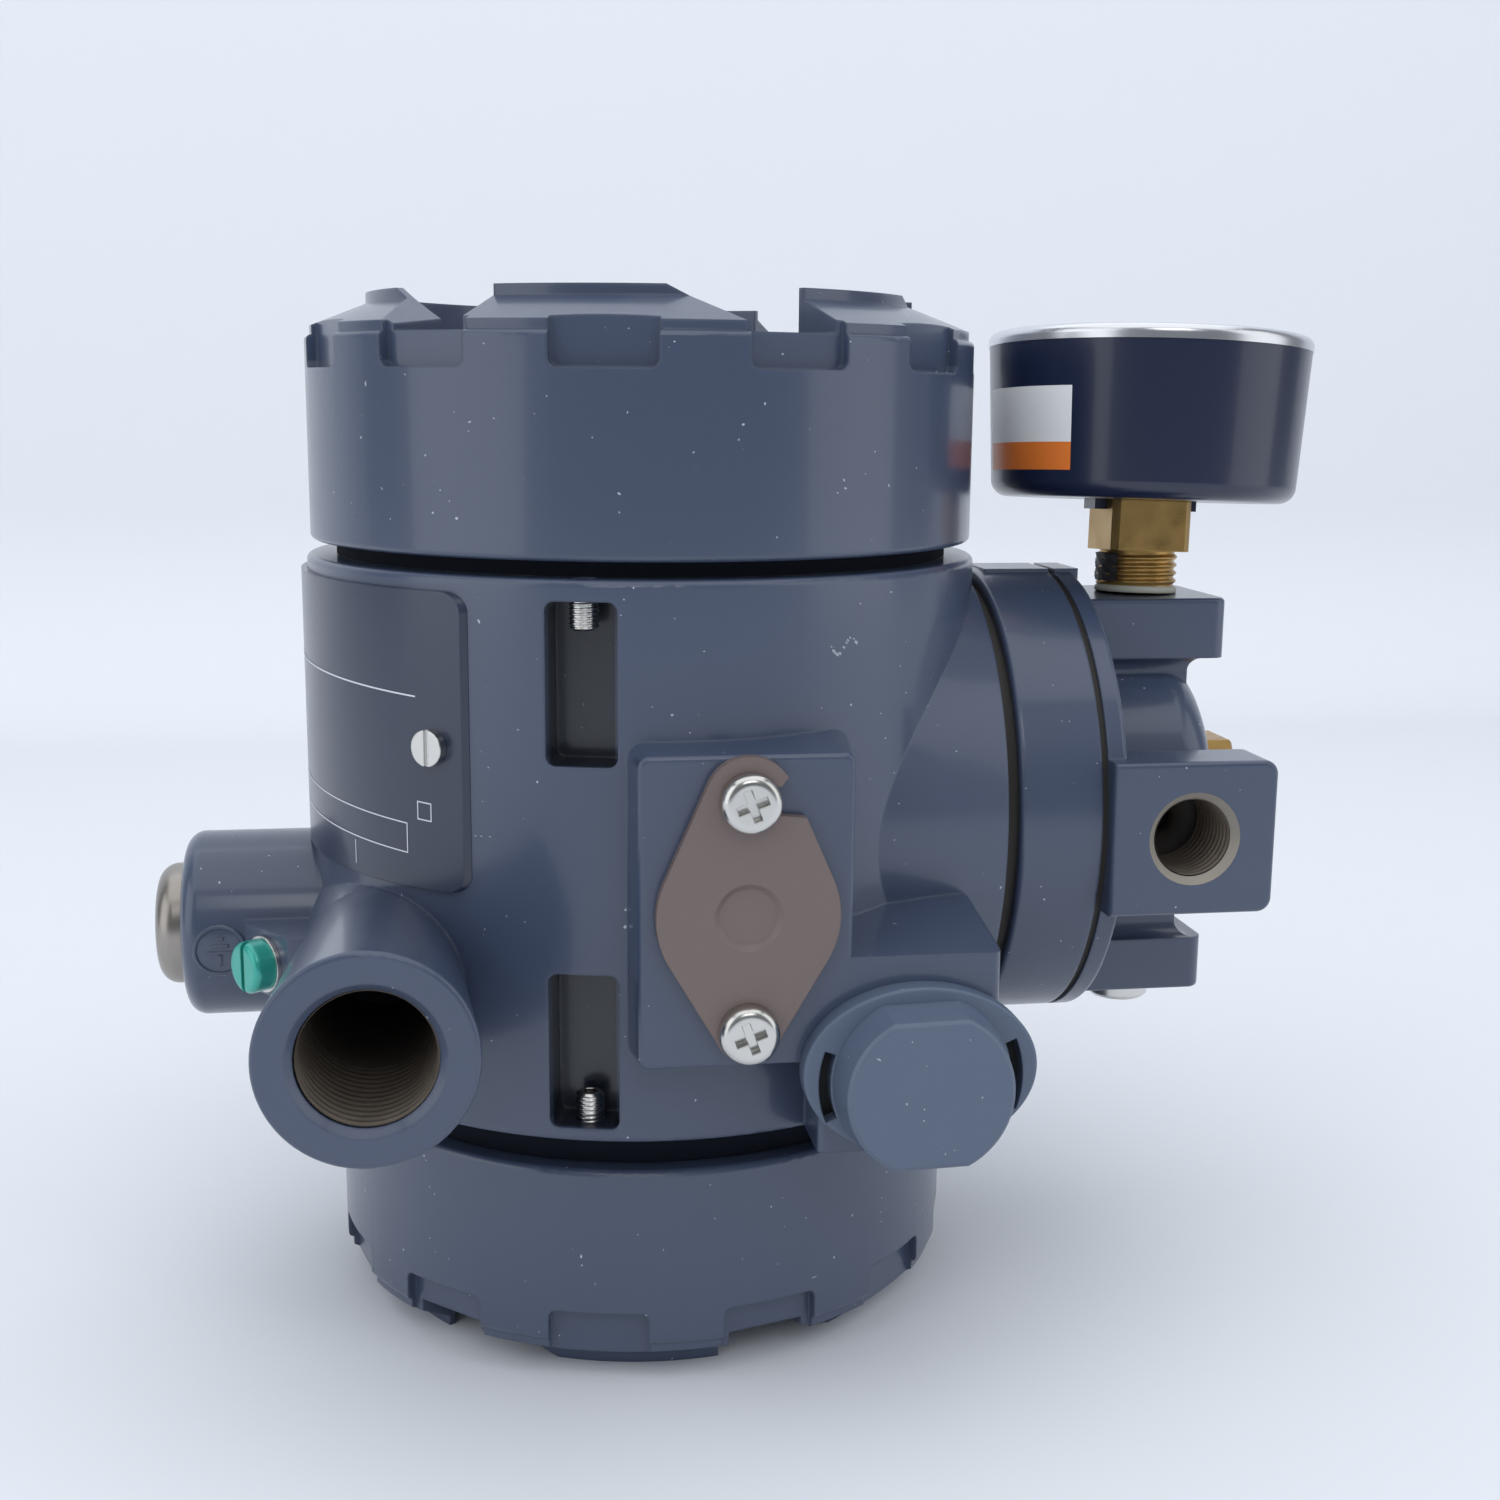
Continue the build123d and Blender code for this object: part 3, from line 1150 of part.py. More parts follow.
with BuildPart() as gauge_case:
    with Locations((port_x, 0, gauge_case_bottom)):
        Cone(gauge_case_bottom_radius, gauge_case_top_radius, gauge_case_height, align=LOW)
    fillet(gauge_case.edges().filter_by(GeomType.CIRCLE).group_by(Axis.Z)[0], gauge_case_edge)
    half_collar = gauge_collar_width / 2
    block(port_x - half_collar, port_x + half_collar, -gauge_collar_depth / 2, gauge_collar_depth / 2,
          gauge_case_bottom - gauge_collar_height, gauge_floor)
    dial_z = gauge_floor + gauge_dial_height
    ledge_bore = gauge_case_bottom_radius - gauge_case_wall - gauge_ledge_width
    upright(ledge_bore, gauge_floor, dial_z, port_x, 0, mode=Mode.SUBTRACT)
    upright(gauge_case_top_radius - gauge_case_wall, dial_z, gauge_case_top, port_x, 0, mode=Mode.SUBTRACT)
    hole = half_square + fit_clearance
    block(port_x - hole, port_x + hole, -hole, hole, gauge_case_bottom - gauge_collar_height,
          gauge_case_bottom, mode=Mode.SUBTRACT)
    upright(gauge_neck_radius + fit_clearance, gauge_case_bottom, gauge_floor, port_x, 0, mode=Mode.SUBTRACT)
finish(gauge_case, "gauge_case", gauge_place)

bezel_bottom = gauge_case_top
bezel_top = gauge_case_top + gauge_bezel_height
lens_bottom = gauge_case_top
with BuildPart() as gauge_bezel:
    upright(gauge_bezel_radius, bezel_bottom, bezel_top, port_x, 0)
    fillet(gauge_bezel.edges().filter_by(GeomType.CIRCLE).group_by(Axis.Z)[-1], gauge_bezel_edge)
    upright(gauge_lens_radius, bezel_bottom, lens_bottom + gauge_lens_thickness, port_x, 0,
            mode=Mode.SUBTRACT)
    upright(gauge_bezel_lip, bezel_bottom, bezel_top, port_x, 0, mode=Mode.SUBTRACT)
finish(gauge_bezel, "gauge_bezel", gauge_place)

with BuildPart() as gauge_lens:
    upright(gauge_lens_radius - fit_clearance, lens_bottom, lens_bottom + gauge_lens_thickness, port_x, 0)
finish(gauge_lens, "gauge_lens", gauge_place)

with BuildPart() as gauge_dial:
    upright(gauge_dial_radius, dial_z, dial_z + gauge_dial_thickness, port_x, 0)
    upright(gauge_shaft_radius + fit_clearance, dial_z, dial_z + gauge_dial_thickness, port_x, 0,
            mode=Mode.SUBTRACT)
finish(gauge_dial, "gauge_dial", gauge_place)

with BuildPart() as gauge_tube:
    tube_z = gauge_floor + gauge_block_height / 2
    with BuildSketch(Plane(origin=(port_x, 0, tube_z), x_dir=(0, -1, 0), z_dir=(-1, 0, 0))):
        with Locations((gauge_tube_radius, 0)):
            Ellipse(gauge_tube_half_width, gauge_tube_half_height)
    start_angle = 180 / pi * (gauge_neck_radius + 0.6) / gauge_tube_radius
    revolve(axis=Axis((port_x, 0, 0), (0, 0, 1)), revolution_arc=start_angle + gauge_tube_sweep)
    block(port_x - gauge_neck_radius, port_x + gauge_neck_radius, -gauge_tube_radius - 2, 0, gauge_floor,
          block_top, mode=Mode.SUBTRACT)
finish(gauge_tube, "gauge_tube", gauge_place)

gear_distance = gauge_sector_radius + gauge_gear_gap + gauge_pinion_radius
low_plate = block_top
high_plate = low_plate + gauge_plate_thickness + gauge_plate_gap
sector_x = port_x - gear_distance
with BuildPart() as gauge_movement:
    half_plate = gauge_plate_width / 2
    plate_left = sector_x - half_plate
    plate_right = plate_left + gauge_plate_length
    for bottom in (low_plate, high_plate):
        block(plate_left, plate_right, -half_plate, half_plate, bottom, bottom + gauge_plate_thickness)
    for y in (gauge_pillar_inset - half_plate, half_plate - gauge_pillar_inset):
        upright(gauge_pillar_radius, low_plate, high_plate, plate_right - gauge_pillar_inset, y)
    for x in (sector_x, port_x):
        upright(gauge_shaft_radius + gauge_shaft_clearance, low_plate, high_plate + gauge_plate_thickness, x,
                0, mode=Mode.SUBTRACT)
finish(gauge_movement, "gauge_movement", gauge_place)

gear_bottom = low_plate + gauge_plate_thickness + gauge_gear_lift
gear_top = gear_bottom + gauge_gear_thickness
pointer_bottom = dial_z + gauge_dial_thickness + gauge_pointer_lift
with BuildPart() as gauge_sector:
    upright(gauge_shaft_radius, low_plate + gauge_end_play, high_plate + gauge_plate_thickness, sector_x, 0)
    upright(gauge_sector_hub, gear_bottom, gear_top, sector_x, 0)
    with BuildSketch(Plane(origin=(sector_x, 0, gear_bottom))):
        with BuildLine():
            rim = CenterArc((0, 0), gauge_sector_radius, gauge_sector_rest - gauge_sector_angle / 2,
                            gauge_sector_angle)
            Polyline(rim @ 1, (0, 0), rim @ 0)
        make_face()
    extrude(amount=gauge_gear_thickness)
finish(gauge_sector, "gauge_sector", gauge_place)

with BuildPart() as gauge_pointer:
    pointer_top = pointer_bottom + gauge_pointer_thickness
    upright(gauge_shaft_radius, low_plate + gauge_end_play, pointer_top, port_x, 0)
    upright(gauge_pinion_radius, gear_bottom, gear_top, port_x, 0)
    upright(gauge_pointer_hub, pointer_bottom, pointer_top + gauge_pointer_lift, port_x, 0)
    tip_x, tip_y = around(gauge_pointer_reach, gauge_pointer_start)
    tail_x, tail_y = around(-gauge_pointer_tail, gauge_pointer_start)
    side_x, side_y = around(gauge_pointer_width, gauge_pointer_start + 90)
    with BuildSketch(Plane.XY.offset(pointer_bottom)):
        Polygon(
            (port_x + tip_x + side_x / 8, tip_y + side_y / 8),
            (port_x + tip_x - side_x / 8, tip_y - side_y / 8),
            (port_x + tail_x - side_x, tail_y - side_y),
            (port_x + tail_x + side_x, tail_y + side_y),
            align=None,
        )
    extrude(amount=gauge_pointer_thickness)
finish(gauge_pointer, "gauge_pointer", gauge_place)

# Converter module in the upper compartment
inner_radius = module_radius - module_wall
with BuildPart() as module_base:
    upright(module_radius, module_bottom, module_top)
    upright(inner_radius, module_floor_top, module_top, mode=Mode.SUBTRACT)
    for x, y in module_screw_points:
        upright(module_post_radius, module_floor_top, module_top, x, y)
        upright(module_screw_radius + fit_clearance, module_bottom, module_top, x, y, mode=Mode.SUBTRACT)
    upright(feedthrough_recess_radius, module_bottom, module_bottom + feedthrough_recess_depth,
            mode=Mode.SUBTRACT)
    upright(nozzle_radius + nozzle_clearance, module_floor_top - nozzle_seat, module_floor_top, nozzle_x, 0,
            mode=Mode.SUBTRACT)
    ring_z = module_bottom + module_ring_height
    groove_half = module_ring_section + 0.1
    ring_middle = compartment_radius - module_ring_section - module_ring_clearance
    with BuildPart(mode=Mode.PRIVATE) as ring_groove:
        upright(module_radius + 1, ring_z - groove_half, ring_z + groove_half)
        upright(ring_middle - groove_half, ring_z - groove_half, ring_z + groove_half, mode=Mode.SUBTRACT)
    add(ring_groove.part, mode=Mode.SUBTRACT)
finish(module_base, "module_base")

with BuildPart() as module_oring:
    with Locations((0, 0, ring_z)):
        Torus(ring_middle, module_ring_section)
finish(module_oring, "module_oring")

with BuildPart() as module_cover:
    upright(module_radius, module_top, cover_top)
    chamfer(module_cover.edges().filter_by(GeomType.CIRCLE).group_by(Axis.Z)[-1], 0.6)
    for turn in (30, 150, 270):
        x, y = around(board_standoff_circle, turn)
        upright(board_standoff_radius, board_top, module_top, x, y)
    for x, y in module_screw_points:
        upright(module_screw_radius + fit_clearance, module_top, cover_top, x, y, mode=Mode.SUBTRACT)
    upright(zero_screw_radius + fit_clearance, module_top, cover_top, zero_x, 0, mode=Mode.SUBTRACT)
    upright(span_screw_radius + fit_clearance, module_top, cover_top, span_x, span_y, mode=Mode.SUBTRACT)
finish(module_cover, "module_cover")

with BuildPart() as module_screws:
    for x, y in module_screw_points:
        upright(module_screw_radius, wall_top - module_screw_grip, cover_top, x, y)
        upright(module_screw_head_radius, cover_top, cover_top + module_screw_head_height, x, y)
        with Locations((x, y, cover_top + module_screw_head_height)):
            Box(3 * module_screw_head_radius, slot_width, 2 * slot_depth, mode=Mode.SUBTRACT)
finish(module_screws, "module_screws")

with BuildPart() as circuit_board:
    upright(board_radius, board_top - board_thickness, board_top)
    for x, y in module_screw_points:
        upright(module_post_radius + 0.6, board_top - board_thickness, board_top, x, y, mode=Mode.SUBTRACT)
    upright(zero_screw_radius + 0.5, board_top - board_thickness, board_top, zero_x, 0, mode=Mode.SUBTRACT)
finish(circuit_board, "circuit_board")

with BuildPart() as nozzle:
    nozzle_top = armature_bottom - nozzle_gap
    upright(nozzle_radius, module_floor_top - nozzle_seat, nozzle_top - nozzle_cone, nozzle_x, 0)
    with Locations((nozzle_x, 0, nozzle_top - nozzle_cone)):
        Cone(nozzle_radius, nozzle_tip_radius, nozzle_cone, align=LOW)
    upright(nozzle_orifice_radius, module_floor_top - nozzle_seat, nozzle_top, nozzle_x, 0, mode=Mode.SUBTRACT)
finish(nozzle, "nozzle")

with BuildPart() as magnet_yoke:
    block(yoke_left, yoke_right, -yoke_half_width, yoke_half_width, module_floor_top, yoke_top)
    for side in (-1, 1):
        near = side * (yoke_half_width - yoke_ear_thickness)
        far = side * yoke_half_width
        block(pivot_x - yoke_ear_length / 2, pivot_x + yoke_ear_length / 2, min(near, far), max(near, far),
              yoke_top, pivot_z + yoke_ear_length / 2)
    endways(pivot_radius + fit_clearance, -yoke_half_width, yoke_half_width, pivot_x, pivot_z,
            mode=Mode.SUBTRACT)
    block(yoke_pole_left, yoke_right, -yoke_half_width, yoke_half_width, yoke_top, yoke_top + yoke_pole_height)
finish(magnet_yoke, "magnet_yoke")

coil_middle = armature_bottom + armature_thickness / 2
with BuildPart() as magnets:
    for left in (coil_left - magnet_length - 1, coil_left + coil_length + 0.5):
        right = min(left + magnet_length, yoke_pole_left) if left > coil_left else left + magnet_length
        block(left, right, -yoke_half_width + 1, yoke_half_width - 1, yoke_top, yoke_top + magnet_height)
finish(magnets, "magnets")

window_half_z = armature_thickness / 2 + armature_play
window_half_y = armature_half_width + armature_play
coil_right = coil_left + coil_length
half_coil = coil_middle - yoke_top
with BuildPart() as coil_bobbin:
    block(coil_left, coil_right, -coil_half_width, coil_half_width, yoke_top, coil_middle + half_coil - 1.2)
    block(coil_left + coil_flange, coil_right - coil_flange, -2 * coil_half_width, 2 * coil_half_width,
          yoke_top - 1, coil_middle + half_coil, mode=Mode.SUBTRACT)
    block(coil_left, coil_right, -window_half_y - coil_wall, window_half_y + coil_wall,
          coil_middle - window_half_z - coil_wall, coil_middle + window_half_z + coil_wall)
    block(coil_left, coil_right, -window_half_y, window_half_y, coil_middle - window_half_z,
          coil_middle + window_half_z, mode=Mode.SUBTRACT)
finish(coil_bobbin, "coil_bobbin")

with BuildPart() as coil_winding:
    block(coil_left + coil_flange, coil_right - coil_flange, 0.5 - coil_half_width, coil_half_width - 0.5,
          yoke_top + 0.3, coil_middle + half_coil - 1.7)
    fillet(coil_winding.edges().filter_by(Axis.X), 1.5)
    block(coil_left, coil_right, -window_half_y - coil_wall, window_half_y + coil_wall,
          coil_middle - window_half_z - coil_wall, coil_middle + window_half_z + coil_wall, mode=Mode.SUBTRACT)
finish(coil_winding, "coil_winding")

with BuildPart() as armature:
    block(pivot_x - 4, armature_right, -armature_half_width, armature_half_width, armature_bottom, armature_top)
    endways(pivot_radius, -yoke_half_width, yoke_half_width, pivot_x, pivot_z)
finish(armature, "armature")

zero_tip = board_top - board_thickness - zero_screw_show
with BuildPart() as zero_spring:
    add(coil_spring((zero_x, 0, armature_top + rest_gap), (0, 0, 1), zero_tip - armature_top - rest_gap,
                    zero_spring_radius, zero_spring_wire, 3))
finish(zero_spring, "zero_spring")

with BuildPart() as zero_screw:
    upright(zero_screw_radius, zero_tip, cover_top + 1.0, zero_x, 0)
    with Locations((zero_x, 0, cover_top + 1.0)):
        Box(3 * zero_screw_radius, slot_width, 2 * slot_depth, mode=Mode.SUBTRACT)
finish(zero_screw, "zero_screw")

with BuildPart() as span_screw:
    upright(span_screw_radius, board_top, cover_top + 1.0, span_x, span_y)
    with Locations((span_x, span_y, cover_top + 1.0)):
        Box(3 * span_screw_radius, slot_width, 2 * slot_depth, mode=Mode.SUBTRACT)
finish(span_screw, "span_screw")

# Feedthrough in the wall, and the terminal block below it
pin_points = [around(pin_circle, 45 + turn * 360 / pin_count) for turn in range(pin_count)]
with BuildPart() as feedthrough:
    upright(feedthrough_radius - fit_clearance, wall_bottom, wall_top)
    for x, y in pin_points:
        upright(pin_radius, wall_bottom, wall_top, x, y, mode=Mode.SUBTRACT)
finish(feedthrough, "feedthrough")

with BuildPart() as feedthrough_pins:
    for x, y in pin_points:
        upright(pin_radius, wall_bottom - pin_stand_out, wall_top + pin_stand_out, x, y)
finish(feedthrough_pins, "feedthrough_pins")

terminal_xs = [(index - (terminal_count - 1) / 2) * terminal_pitch for index in range(terminal_count)]
with BuildPart() as terminal_block:
    block(-terminal_length / 2, terminal_length / 2, -terminal_width / 2, terminal_width / 2, terminal_bottom,
          wall_bottom)
    fillet(terminal_block.edges().filter_by(Axis.Z), 2)
    upright(feedthrough_recess_radius, wall_bottom - feedthrough_recess_depth, wall_bottom,
            mode=Mode.SUBTRACT)
    for x in terminal_xs:
        upright(terminal_screw_radius + fit_clearance, terminal_bottom, terminal_bottom + terminal_screw_length,
                x, terminal_row_y, mode=Mode.SUBTRACT)
    # Ribs between neighbouring terminals
    for x in terminal_xs[:-1]:
        rib = x + terminal_pitch / 2
        block(rib - 0.6, rib + 0.6, -terminal_width / 2, 0, terminal_bottom - 3, terminal_bottom)
finish(terminal_block, "terminal_block")

with BuildPart() as terminal_clamps:
    half_clamp = terminal_clamp_size / 2
    for x in terminal_xs:
        block(x - half_clamp, x + half_clamp, terminal_row_y - half_clamp, terminal_row_y + half_clamp,
              terminal_bottom - terminal_clamp_thickness, terminal_bottom)
        upright(terminal_screw_radius + fit_clearance, terminal_bottom - terminal_clamp_thickness,
                terminal_bottom, x, terminal_row_y, mode=Mode.SUBTRACT)
finish(terminal_clamps, "terminal_clamps")

with BuildPart() as terminal_screws:
    head_top = terminal_bottom - terminal_clamp_thickness
    for x in terminal_xs:
        upright(terminal_screw_radius, head_top, terminal_bottom + terminal_screw_length - 0.5, x,
                terminal_row_y)
        upright(terminal_head_radius, head_top - terminal_head_height, head_top, x, terminal_row_y)
        with Locations((x, terminal_row_y, head_top - terminal_head_height)):
            Box(slot_width, 3 * terminal_head_radius, 2 * slot_depth, mode=Mode.SUBTRACT)
finish(terminal_screws, "terminal_screws")
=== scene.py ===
"""Electro-pneumatic transducer on a pale sweep, seen from the photograph's angle.

Pieces are written in millimetres; lamps, camera and stage in metres.
"""
import json
import math

import bpy
from mathutils import Matrix, Vector

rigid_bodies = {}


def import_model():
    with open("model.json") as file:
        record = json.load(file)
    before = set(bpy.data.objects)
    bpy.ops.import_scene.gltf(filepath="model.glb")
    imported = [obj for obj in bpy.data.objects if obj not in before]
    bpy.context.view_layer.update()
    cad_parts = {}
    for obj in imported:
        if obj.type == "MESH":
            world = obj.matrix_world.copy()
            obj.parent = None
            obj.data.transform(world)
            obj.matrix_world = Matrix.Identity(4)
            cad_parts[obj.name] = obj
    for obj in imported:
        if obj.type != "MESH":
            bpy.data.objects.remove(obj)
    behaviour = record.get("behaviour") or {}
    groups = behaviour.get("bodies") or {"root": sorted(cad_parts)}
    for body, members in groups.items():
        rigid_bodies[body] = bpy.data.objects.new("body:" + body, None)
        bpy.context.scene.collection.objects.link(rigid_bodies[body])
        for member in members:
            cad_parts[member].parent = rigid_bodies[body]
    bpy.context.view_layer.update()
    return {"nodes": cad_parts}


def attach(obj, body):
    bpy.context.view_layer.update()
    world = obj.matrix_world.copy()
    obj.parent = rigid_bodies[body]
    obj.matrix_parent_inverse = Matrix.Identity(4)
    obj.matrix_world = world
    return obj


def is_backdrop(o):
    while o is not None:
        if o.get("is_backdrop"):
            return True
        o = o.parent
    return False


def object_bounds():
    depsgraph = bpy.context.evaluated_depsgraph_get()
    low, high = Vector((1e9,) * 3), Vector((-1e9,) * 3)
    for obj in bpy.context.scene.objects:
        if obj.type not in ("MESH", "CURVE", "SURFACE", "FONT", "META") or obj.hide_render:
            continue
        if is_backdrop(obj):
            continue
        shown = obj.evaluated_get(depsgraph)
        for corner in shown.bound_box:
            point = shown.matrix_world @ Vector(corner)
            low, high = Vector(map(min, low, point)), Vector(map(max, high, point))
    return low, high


for old in list(bpy.data.objects):
    bpy.data.objects.remove(old)

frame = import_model()
nodes = frame["nodes"]
scene = bpy.context.scene
MM = 0.001
Y = (0, 1, 0)
Z = (0, 0, 1)


# Helpers for materials

def node(tree, kind, inputs=None, **settings):
    """Add a shader node, set its properties and input values or links."""
    made = tree.nodes.new(kind)
    for key, value in settings.items():
        setattr(made, key, value)
    for key, value in (inputs or {}).items():
        if isinstance(value, bpy.types.NodeSocket):
            tree.links.new(value, made.inputs[key])
        else:
            made.inputs[key].default_value = value
    return made


def rgba(color):
    return (*color, 1.0)


def noise(tree, scale, detail, roughness=0.5):
    """Noise in the object's own coordinates, with about scale features to the metre."""
    where = node(tree, "ShaderNodeTexCoord").outputs["Object"]
    point = node(tree, "ShaderNodeMapping", {"Vector": where, "Scale": (scale,) * 3}).outputs[0]
    made = node(tree, "ShaderNodeTexNoise", {"Vector": point, "Scale": 1.0, "Detail": detail,
                                             "Roughness": roughness})
    return made.outputs["Fac"]


def map_range(tree, value, from_low, from_high, to_low, to_high):
    made = node(tree, "ShaderNodeMapRange", {"Value": value, "From Min": from_low, "From Max": from_high,
                                             "To Min": to_low, "To Max": to_high})
    return made.outputs["Result"]


def mixed(tree, factor, first, second, blend="MIX"):
    """Colour between two colours, or their product with blend MULTIPLY."""
    made = node(tree, "ShaderNodeMix", {"Factor": factor, "A": first, "B": second}, data_type="RGBA",
                blend_type=blend)
    return made.outputs["Result"]


def maths(tree, operation, first, second):
    return node(tree, "ShaderNodeMath", {0: first, 1: second}, operation=operation).outputs[0]


SPECK_SCALE = 1500.0
SPECK_FROM, SPECK_TO = 0.865, 0.875
SPECK_COLOR = (0.75, 0.78, 0.82)
COAT_ROUGHNESS = 0.12
GRAIN_DEPTH = 0.0004
BEVEL_SAMPLES = 6


def surface(name, color, roughness, metallic=0.0, bump=0.0, bump_scale=500.0, round_edge=0.0, vary=0.0,
            vary_scale=60.0, specks=0.0, coat=0.0, specular=0.5, rough_vary=0.0, transmission=0.0, ior=1.5):
    """Principled surface with optional fine grain, uneven colour, rounded edges and pale specks."""
    made = bpy.data.materials.new(name)
    made.use_nodes = True
    tree = made.node_tree
    tree.nodes.clear()
    base = rgba(color)
    if vary:
        low = rgba([c * (1 - vary) for c in color])
        high = rgba([min(1.0, c * (1 + vary)) for c in color])
        base = mixed(tree, noise(tree, vary_scale, 5.0, 0.6), low, high)
    if specks:
        few = map_range(tree, noise(tree, SPECK_SCALE, 0.0), SPECK_FROM, SPECK_TO, 0.0, specks)
        base = mixed(tree, few, base, rgba(SPECK_COLOR))
    rough = roughness
    if rough_vary:
        rough = map_range(tree, noise(tree, vary_scale * 2, 4.0), 0.3, 0.7, roughness - rough_vary,
                          roughness + rough_vary)
    shader = node(tree, "ShaderNodeBsdfPrincipled", {
        "Base Color": base, "Roughness": rough, "Metallic": metallic, "Coat Weight": coat,
        "Coat Roughness": COAT_ROUGHNESS, "Specular IOR Level": specular,
        "Transmission Weight": transmission, "IOR": ior})
    normal = None
    if round_edge:
        rounded = node(tree, "ShaderNodeBevel", {"Radius": round_edge}, samples=BEVEL_SAMPLES)
        normal = rounded.outputs["Normal"]
    if bump:
        relief = node(tree, "ShaderNodeBump", {"Strength": bump, "Distance": GRAIN_DEPTH,
                                               "Height": noise(tree, bump_scale, 3.0, 0.55)})
        if normal:
            tree.links.new(normal, relief.inputs["Normal"])
        normal = relief.outputs["Normal"]
    if normal:
        tree.links.new(normal, shader.inputs["Normal"])
    node(tree, "ShaderNodeOutputMaterial", {"Surface": shader.outputs[0]})
    return made


def paint_shade(made, boxes, depth):
    """Multiply the base colour inside boxes of (most radius, low corner, high corner), painting shade into
    recesses.
    """
    tree = made.node_tree
    shader = next(n for n in tree.nodes if n.type == "BSDF_PRINCIPLED")
    where = node(tree, "ShaderNodeTexCoord").outputs["Object"]
    axes = node(tree, "ShaderNodeSeparateXYZ", {"Vector": where}).outputs
    flat = node(tree, "ShaderNodeVectorMath", {0: where, 1: (1.0, 1.0, 0.0)}, operation="MULTIPLY")
    radius = node(tree, "ShaderNodeVectorMath", {0: flat.outputs[0]}, operation="LENGTH").outputs["Value"]
    shade_mask = 0.0
    for most, low, high in boxes:
        inside = 1.0
        for value, start, end in ((radius, 0.0, most), *zip(axes, low, high)):
            over = maths(tree, "GREATER_THAN", value, start * MM)
            under = maths(tree, "LESS_THAN", value, end * MM)
            inside = maths(tree, "MULTIPLY", inside, maths(tree, "MULTIPLY", over, under))
        shade_mask = maths(tree, "MAXIMUM", shade_mask, inside)
    source = shader.inputs["Base Color"].links[0].from_socket
    dark = mixed(tree, 1.0, source, rgba((depth,) * 3), "MULTIPLY")
    tree.links.new(mixed(tree, shade_mask, source, dark), shader.inputs["Base Color"])


def give(material, *names):
    """Dress whole CAD nodes in a material."""
    for name in names:
        slots = nodes[name].data.materials
        slots.clear()
        slots.append(material)


# Helpers for meshes

def mesh_object(name, points, faces, material, smooth):
    """New mesh object from points in metres."""
    mesh = bpy.data.meshes.new(name)
    mesh.from_pydata(points, [], faces)
    mesh.materials.append(material)
    for polygon in mesh.polygons:
        polygon.use_smooth = smooth
    mesh.update()
    made = bpy.data.objects.new(name, mesh)
    scene.collection.objects.link(made)
    return made


def piece(name, points, faces, material, body, smooth=True):
    """New mesh piece that rides on a body, from points in millimetres."""
    made = mesh_object(name, [Vector(p) * MM for p in points], faces, material, smooth)
    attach(made, body)


def sheet_of(name, place, us, vs, material, body, closed=False, smooth=True):
    """Surface through place(u, v) for each u and v; closed joins the last v to the first."""
    points = [place(u, v) for u in us for v in vs]
    count = len(vs)
    last = count if closed else count - 1
    faces = []
    for i in range(len(us) - 1):
        for j in range(last):
            k = (j + 1) % count
            faces.append((i * count + j, i * count + k, (i + 1) * count + k, (i + 1) * count + j))
    piece(name, points, faces, material, body, smooth)


def steps(start, end, count):
    return [start + (end - start) * i / (count - 1) for i in range(count)]


def around(count):
    """Angles of a whole turn, without its end."""
    return [math.tau * i / count for i in range(count)]


def round_point(radius, azimuth, z, middle_x=0.0):
    """Point on an upright cylinder; azimuth 0 is -Y and 90 is +X."""
    t = math.radians(azimuth)
    return middle_x + radius * math.sin(t), -radius * math.cos(t), z


def turn_frame(origin, axis):
    """Origin and three unit directions, the first along axis."""
    a = Vector(axis).normalized()
    b = a.orthogonal().normalized()
    return Vector(origin), a, b, a.cross(b)


ROUND_COUNT = 72
STEPS_PER_PITCH = 9
FLANK_SLOPE = 2.6
CREST_FLAT = 1.3


def thread(name, origin, axis, valley, crest, pitch, length, material, body):
    """Screw thread as one wavy sleeve along axis; crest may lie inside or outside valley."""
    o, a, b, c = turn_frame(origin, axis)

    def place(s, turn):
        phase = (s / pitch - turn / math.tau) % 1.0
        height = max(0.0, 1.0 - abs(phase - 0.5) * FLANK_SLOPE)
        radius = valley + (crest - valley) * min(1.0, height * CREST_FLAT)
        return o + a * s + (b * math.cos(turn) + c * math.sin(turn)) * radius

    along = steps(0.0, length, int(length / pitch * STEPS_PER_PITCH) + 2)
    sheet_of(name, place, along, around(ROUND_COUNT), material, body, closed=True)


def lathe(name, origin, axis, profile, material, body, count=ROUND_COUNT):
    """Profile of (radius, height) pairs turned about an axis."""
    o, a, b, c = turn_frame(origin, axis)

    def place(point, turn):
        return o + a * point[1] + (b * math.cos(turn) + c * math.sin(turn)) * point[0]

    sheet_of(name, place, profile, around(count), material, body, closed=True)


# Painted castings

PAINT = dict(bump=0.05, bump_scale=700.0, round_edge=0.0007, vary=0.06, vary_scale=25.0, specks=0.5, coat=0.5)
NAVY = (0.044, 0.060, 0.103)
FAR = 99.0
# Boxes where the housing paint is darkened as painted shade: the necks under the caps and the lock pockets.
NECK_LIMIT = 53.0
LOWER_NECK_Z = (30.0, 41.9)
UPPER_NECK_Z = (128.1, 145.0)
POCKET_LIMIT = 56.2
POCKET_LOW = (-19.0, -60.0, 44.0)
POCKET_HIGH = (-9.0, -40.0, 125.0)
PAINTED_SHADE_DEPTH = 0.22

paint = surface("paint", NAVY, 0.32, **PAINT)
body_paint_and_shade = surface("body_paint_and_shade", NAVY, 0.32, **PAINT)
